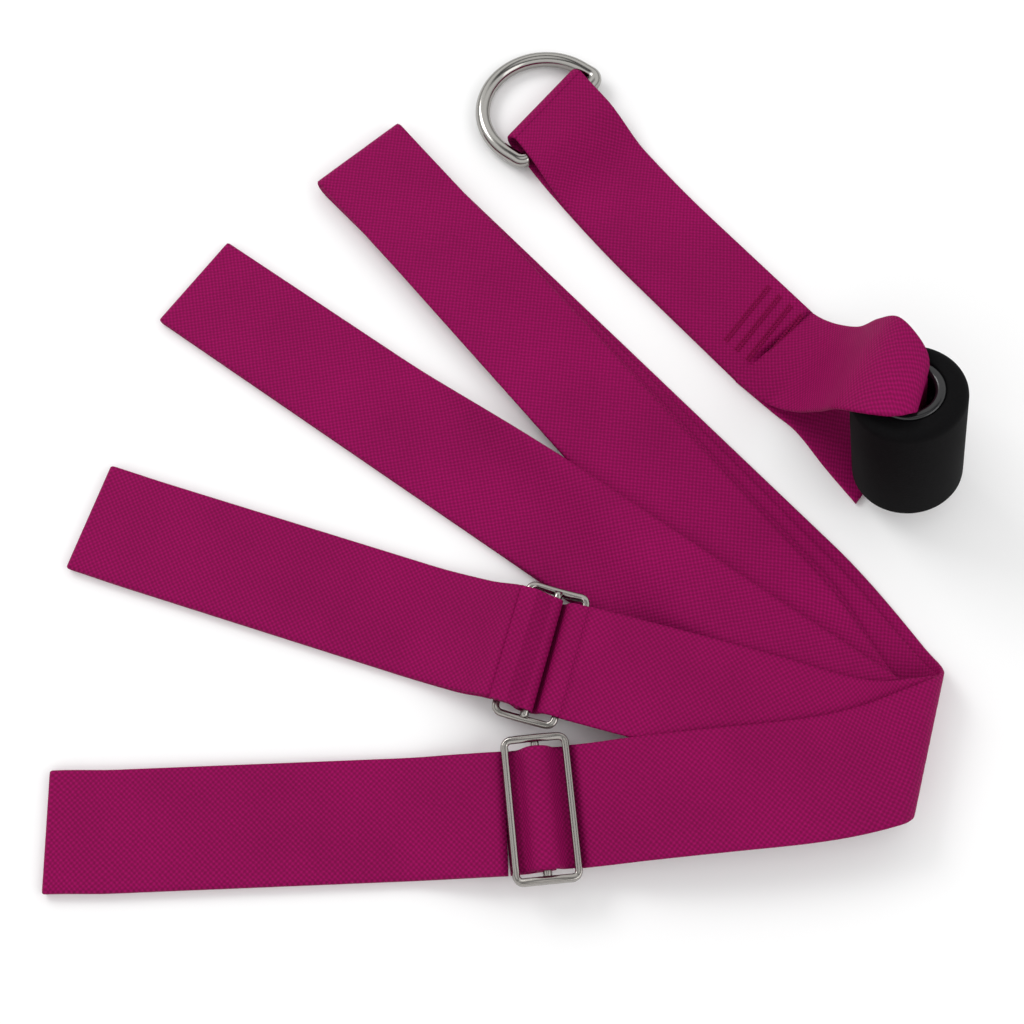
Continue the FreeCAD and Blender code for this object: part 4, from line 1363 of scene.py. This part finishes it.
def area_light(name, place, size, power, aim=(0, 0, 0)):
    """A rectangular light that points at a place."""
    light = bpy.data.lights.new(name, "AREA")
    light.shape = "RECTANGLE"
    light.size, light.size_y = size
    light.energy = power
    lamp = bpy.data.objects.new(name, light)
    bpy.context.scene.collection.objects.link(lamp)
    lamp.location = place
    way = np.array(aim) - np.array(place)
    lamp.rotation_euler = Vector(way).to_track_quat("-Z", "Y").to_euler()
    return lamp


def light_studio(world):
    """A soft room: dark straight overhead, bright walls, dimmer towards the floor."""
    n = Nodes(world.node_tree)
    background = world.node_tree.nodes["Background"]
    where = n.add("ShaderNodeTexCoord")
    split = n.add("ShaderNodeSeparateXYZ")
    n.link(where.outputs["Generated"], split.inputs[0])
    ramp = n.add("ShaderNodeValToRGB")
    ramp.color_ramp.interpolation = "EASE"
    elements = ramp.color_ramp.elements
    for place, level in WALL_LEVELS:
        stop = elements[0] if place == 0.0 else elements.new(place)
        stop.color = (level, level, level, 1)
    elements.remove(elements[-1])
    n.link(split.outputs["Z"], ramp.inputs[0])
    n.link(ramp.outputs["Color"], background.inputs["Color"])
    background.inputs["Strength"].default_value = ROOM_STRENGTH


class STRAP_OT_stage(bpy.types.Operator):
    """Sets up the floor, the lights and the camera"""

    bl_idname = "strap.stage"
    bl_label = "Stage"

    def execute(self, context):
        half = FLOOR_HALF
        corners = [(-half, -half, 0), (half, -half, 0), (half, half, 0), (-half, half, 0)]
        floor = new_object("floor", corners, [(0, 1, 2, 3)], smooth=False)
        floor.data.materials.append(material_named("studio floor"))
        world = bpy.data.worlds.new("Studio")
        context.scene.world = world
        world.use_nodes = True
        light_studio(world)
        key = area_light("key_light", (-0.9, 0.75, 0.9), (0.7, 0.5), 7)
        fill = area_light("fill_light", (1.0, -0.5, 0.9), (0.8, 0.8), 3)
        lens = bpy.data.cameras.new("camera")
        lens.lens = CAMERA_LENS
        lens.sensor_width = CAMERA_SENSOR
        camera = bpy.data.objects.new("camera", lens)
        context.scene.collection.objects.link(camera)
        camera.location = CAMERA_PLACE
        camera.rotation_euler = (math.radians(CAMERA_TILT), 0, 0)
        context.scene.camera = camera
        context.scene.view_settings.view_transform = "Standard"
        return {"FINISHED"}


# ------------------------------------------------------------------ add-on

STEPS = (
    STRAP_OT_long_webbing,
    STRAP_OT_loops,
    STRAP_OT_slides,
    STRAP_OT_door_strap,
    STRAP_OT_bar_tacks,
    STRAP_OT_ring,
    STRAP_OT_roller,
    STRAP_OT_stage,
)


class STRAP_PT_panel(bpy.types.Panel):
    """Lists the strap's pieces in the sidebar"""

    bl_idname = "STRAP_PT_panel"
    bl_label = "Stretching strap"
    bl_space_type = "VIEW_3D"
    bl_region_type = "UI"
    bl_category = "Strap"

    def draw(self, context):
        """One button for each step."""
        for step in STEPS:
            self.layout.operator(step.bl_idname)


CLASSES = (StrapSizes, StrapColours, *STEPS, STRAP_PT_panel)


def register():
    """Adds the classes and the scene's sizes and colours."""
    for item in CLASSES:
        bpy.utils.register_class(item)
    bpy.types.Scene.strap_sizes = bpy.props.PointerProperty(type=StrapSizes)
    bpy.types.Scene.strap_colours = bpy.props.PointerProperty(type=StrapColours)


def unregister():
    """Takes them away again."""
    del bpy.types.Scene.strap_colours
    del bpy.types.Scene.strap_sizes
    for item in reversed(CLASSES):
        bpy.utils.unregister_class(item)


def main():
    """Builds every piece and the stage."""
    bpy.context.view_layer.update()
    register()
    for step in STEPS:
        group, name = step.bl_idname.split(".")
        getattr(getattr(bpy.ops, group), name)()


if __name__ == "__main__":
    main()
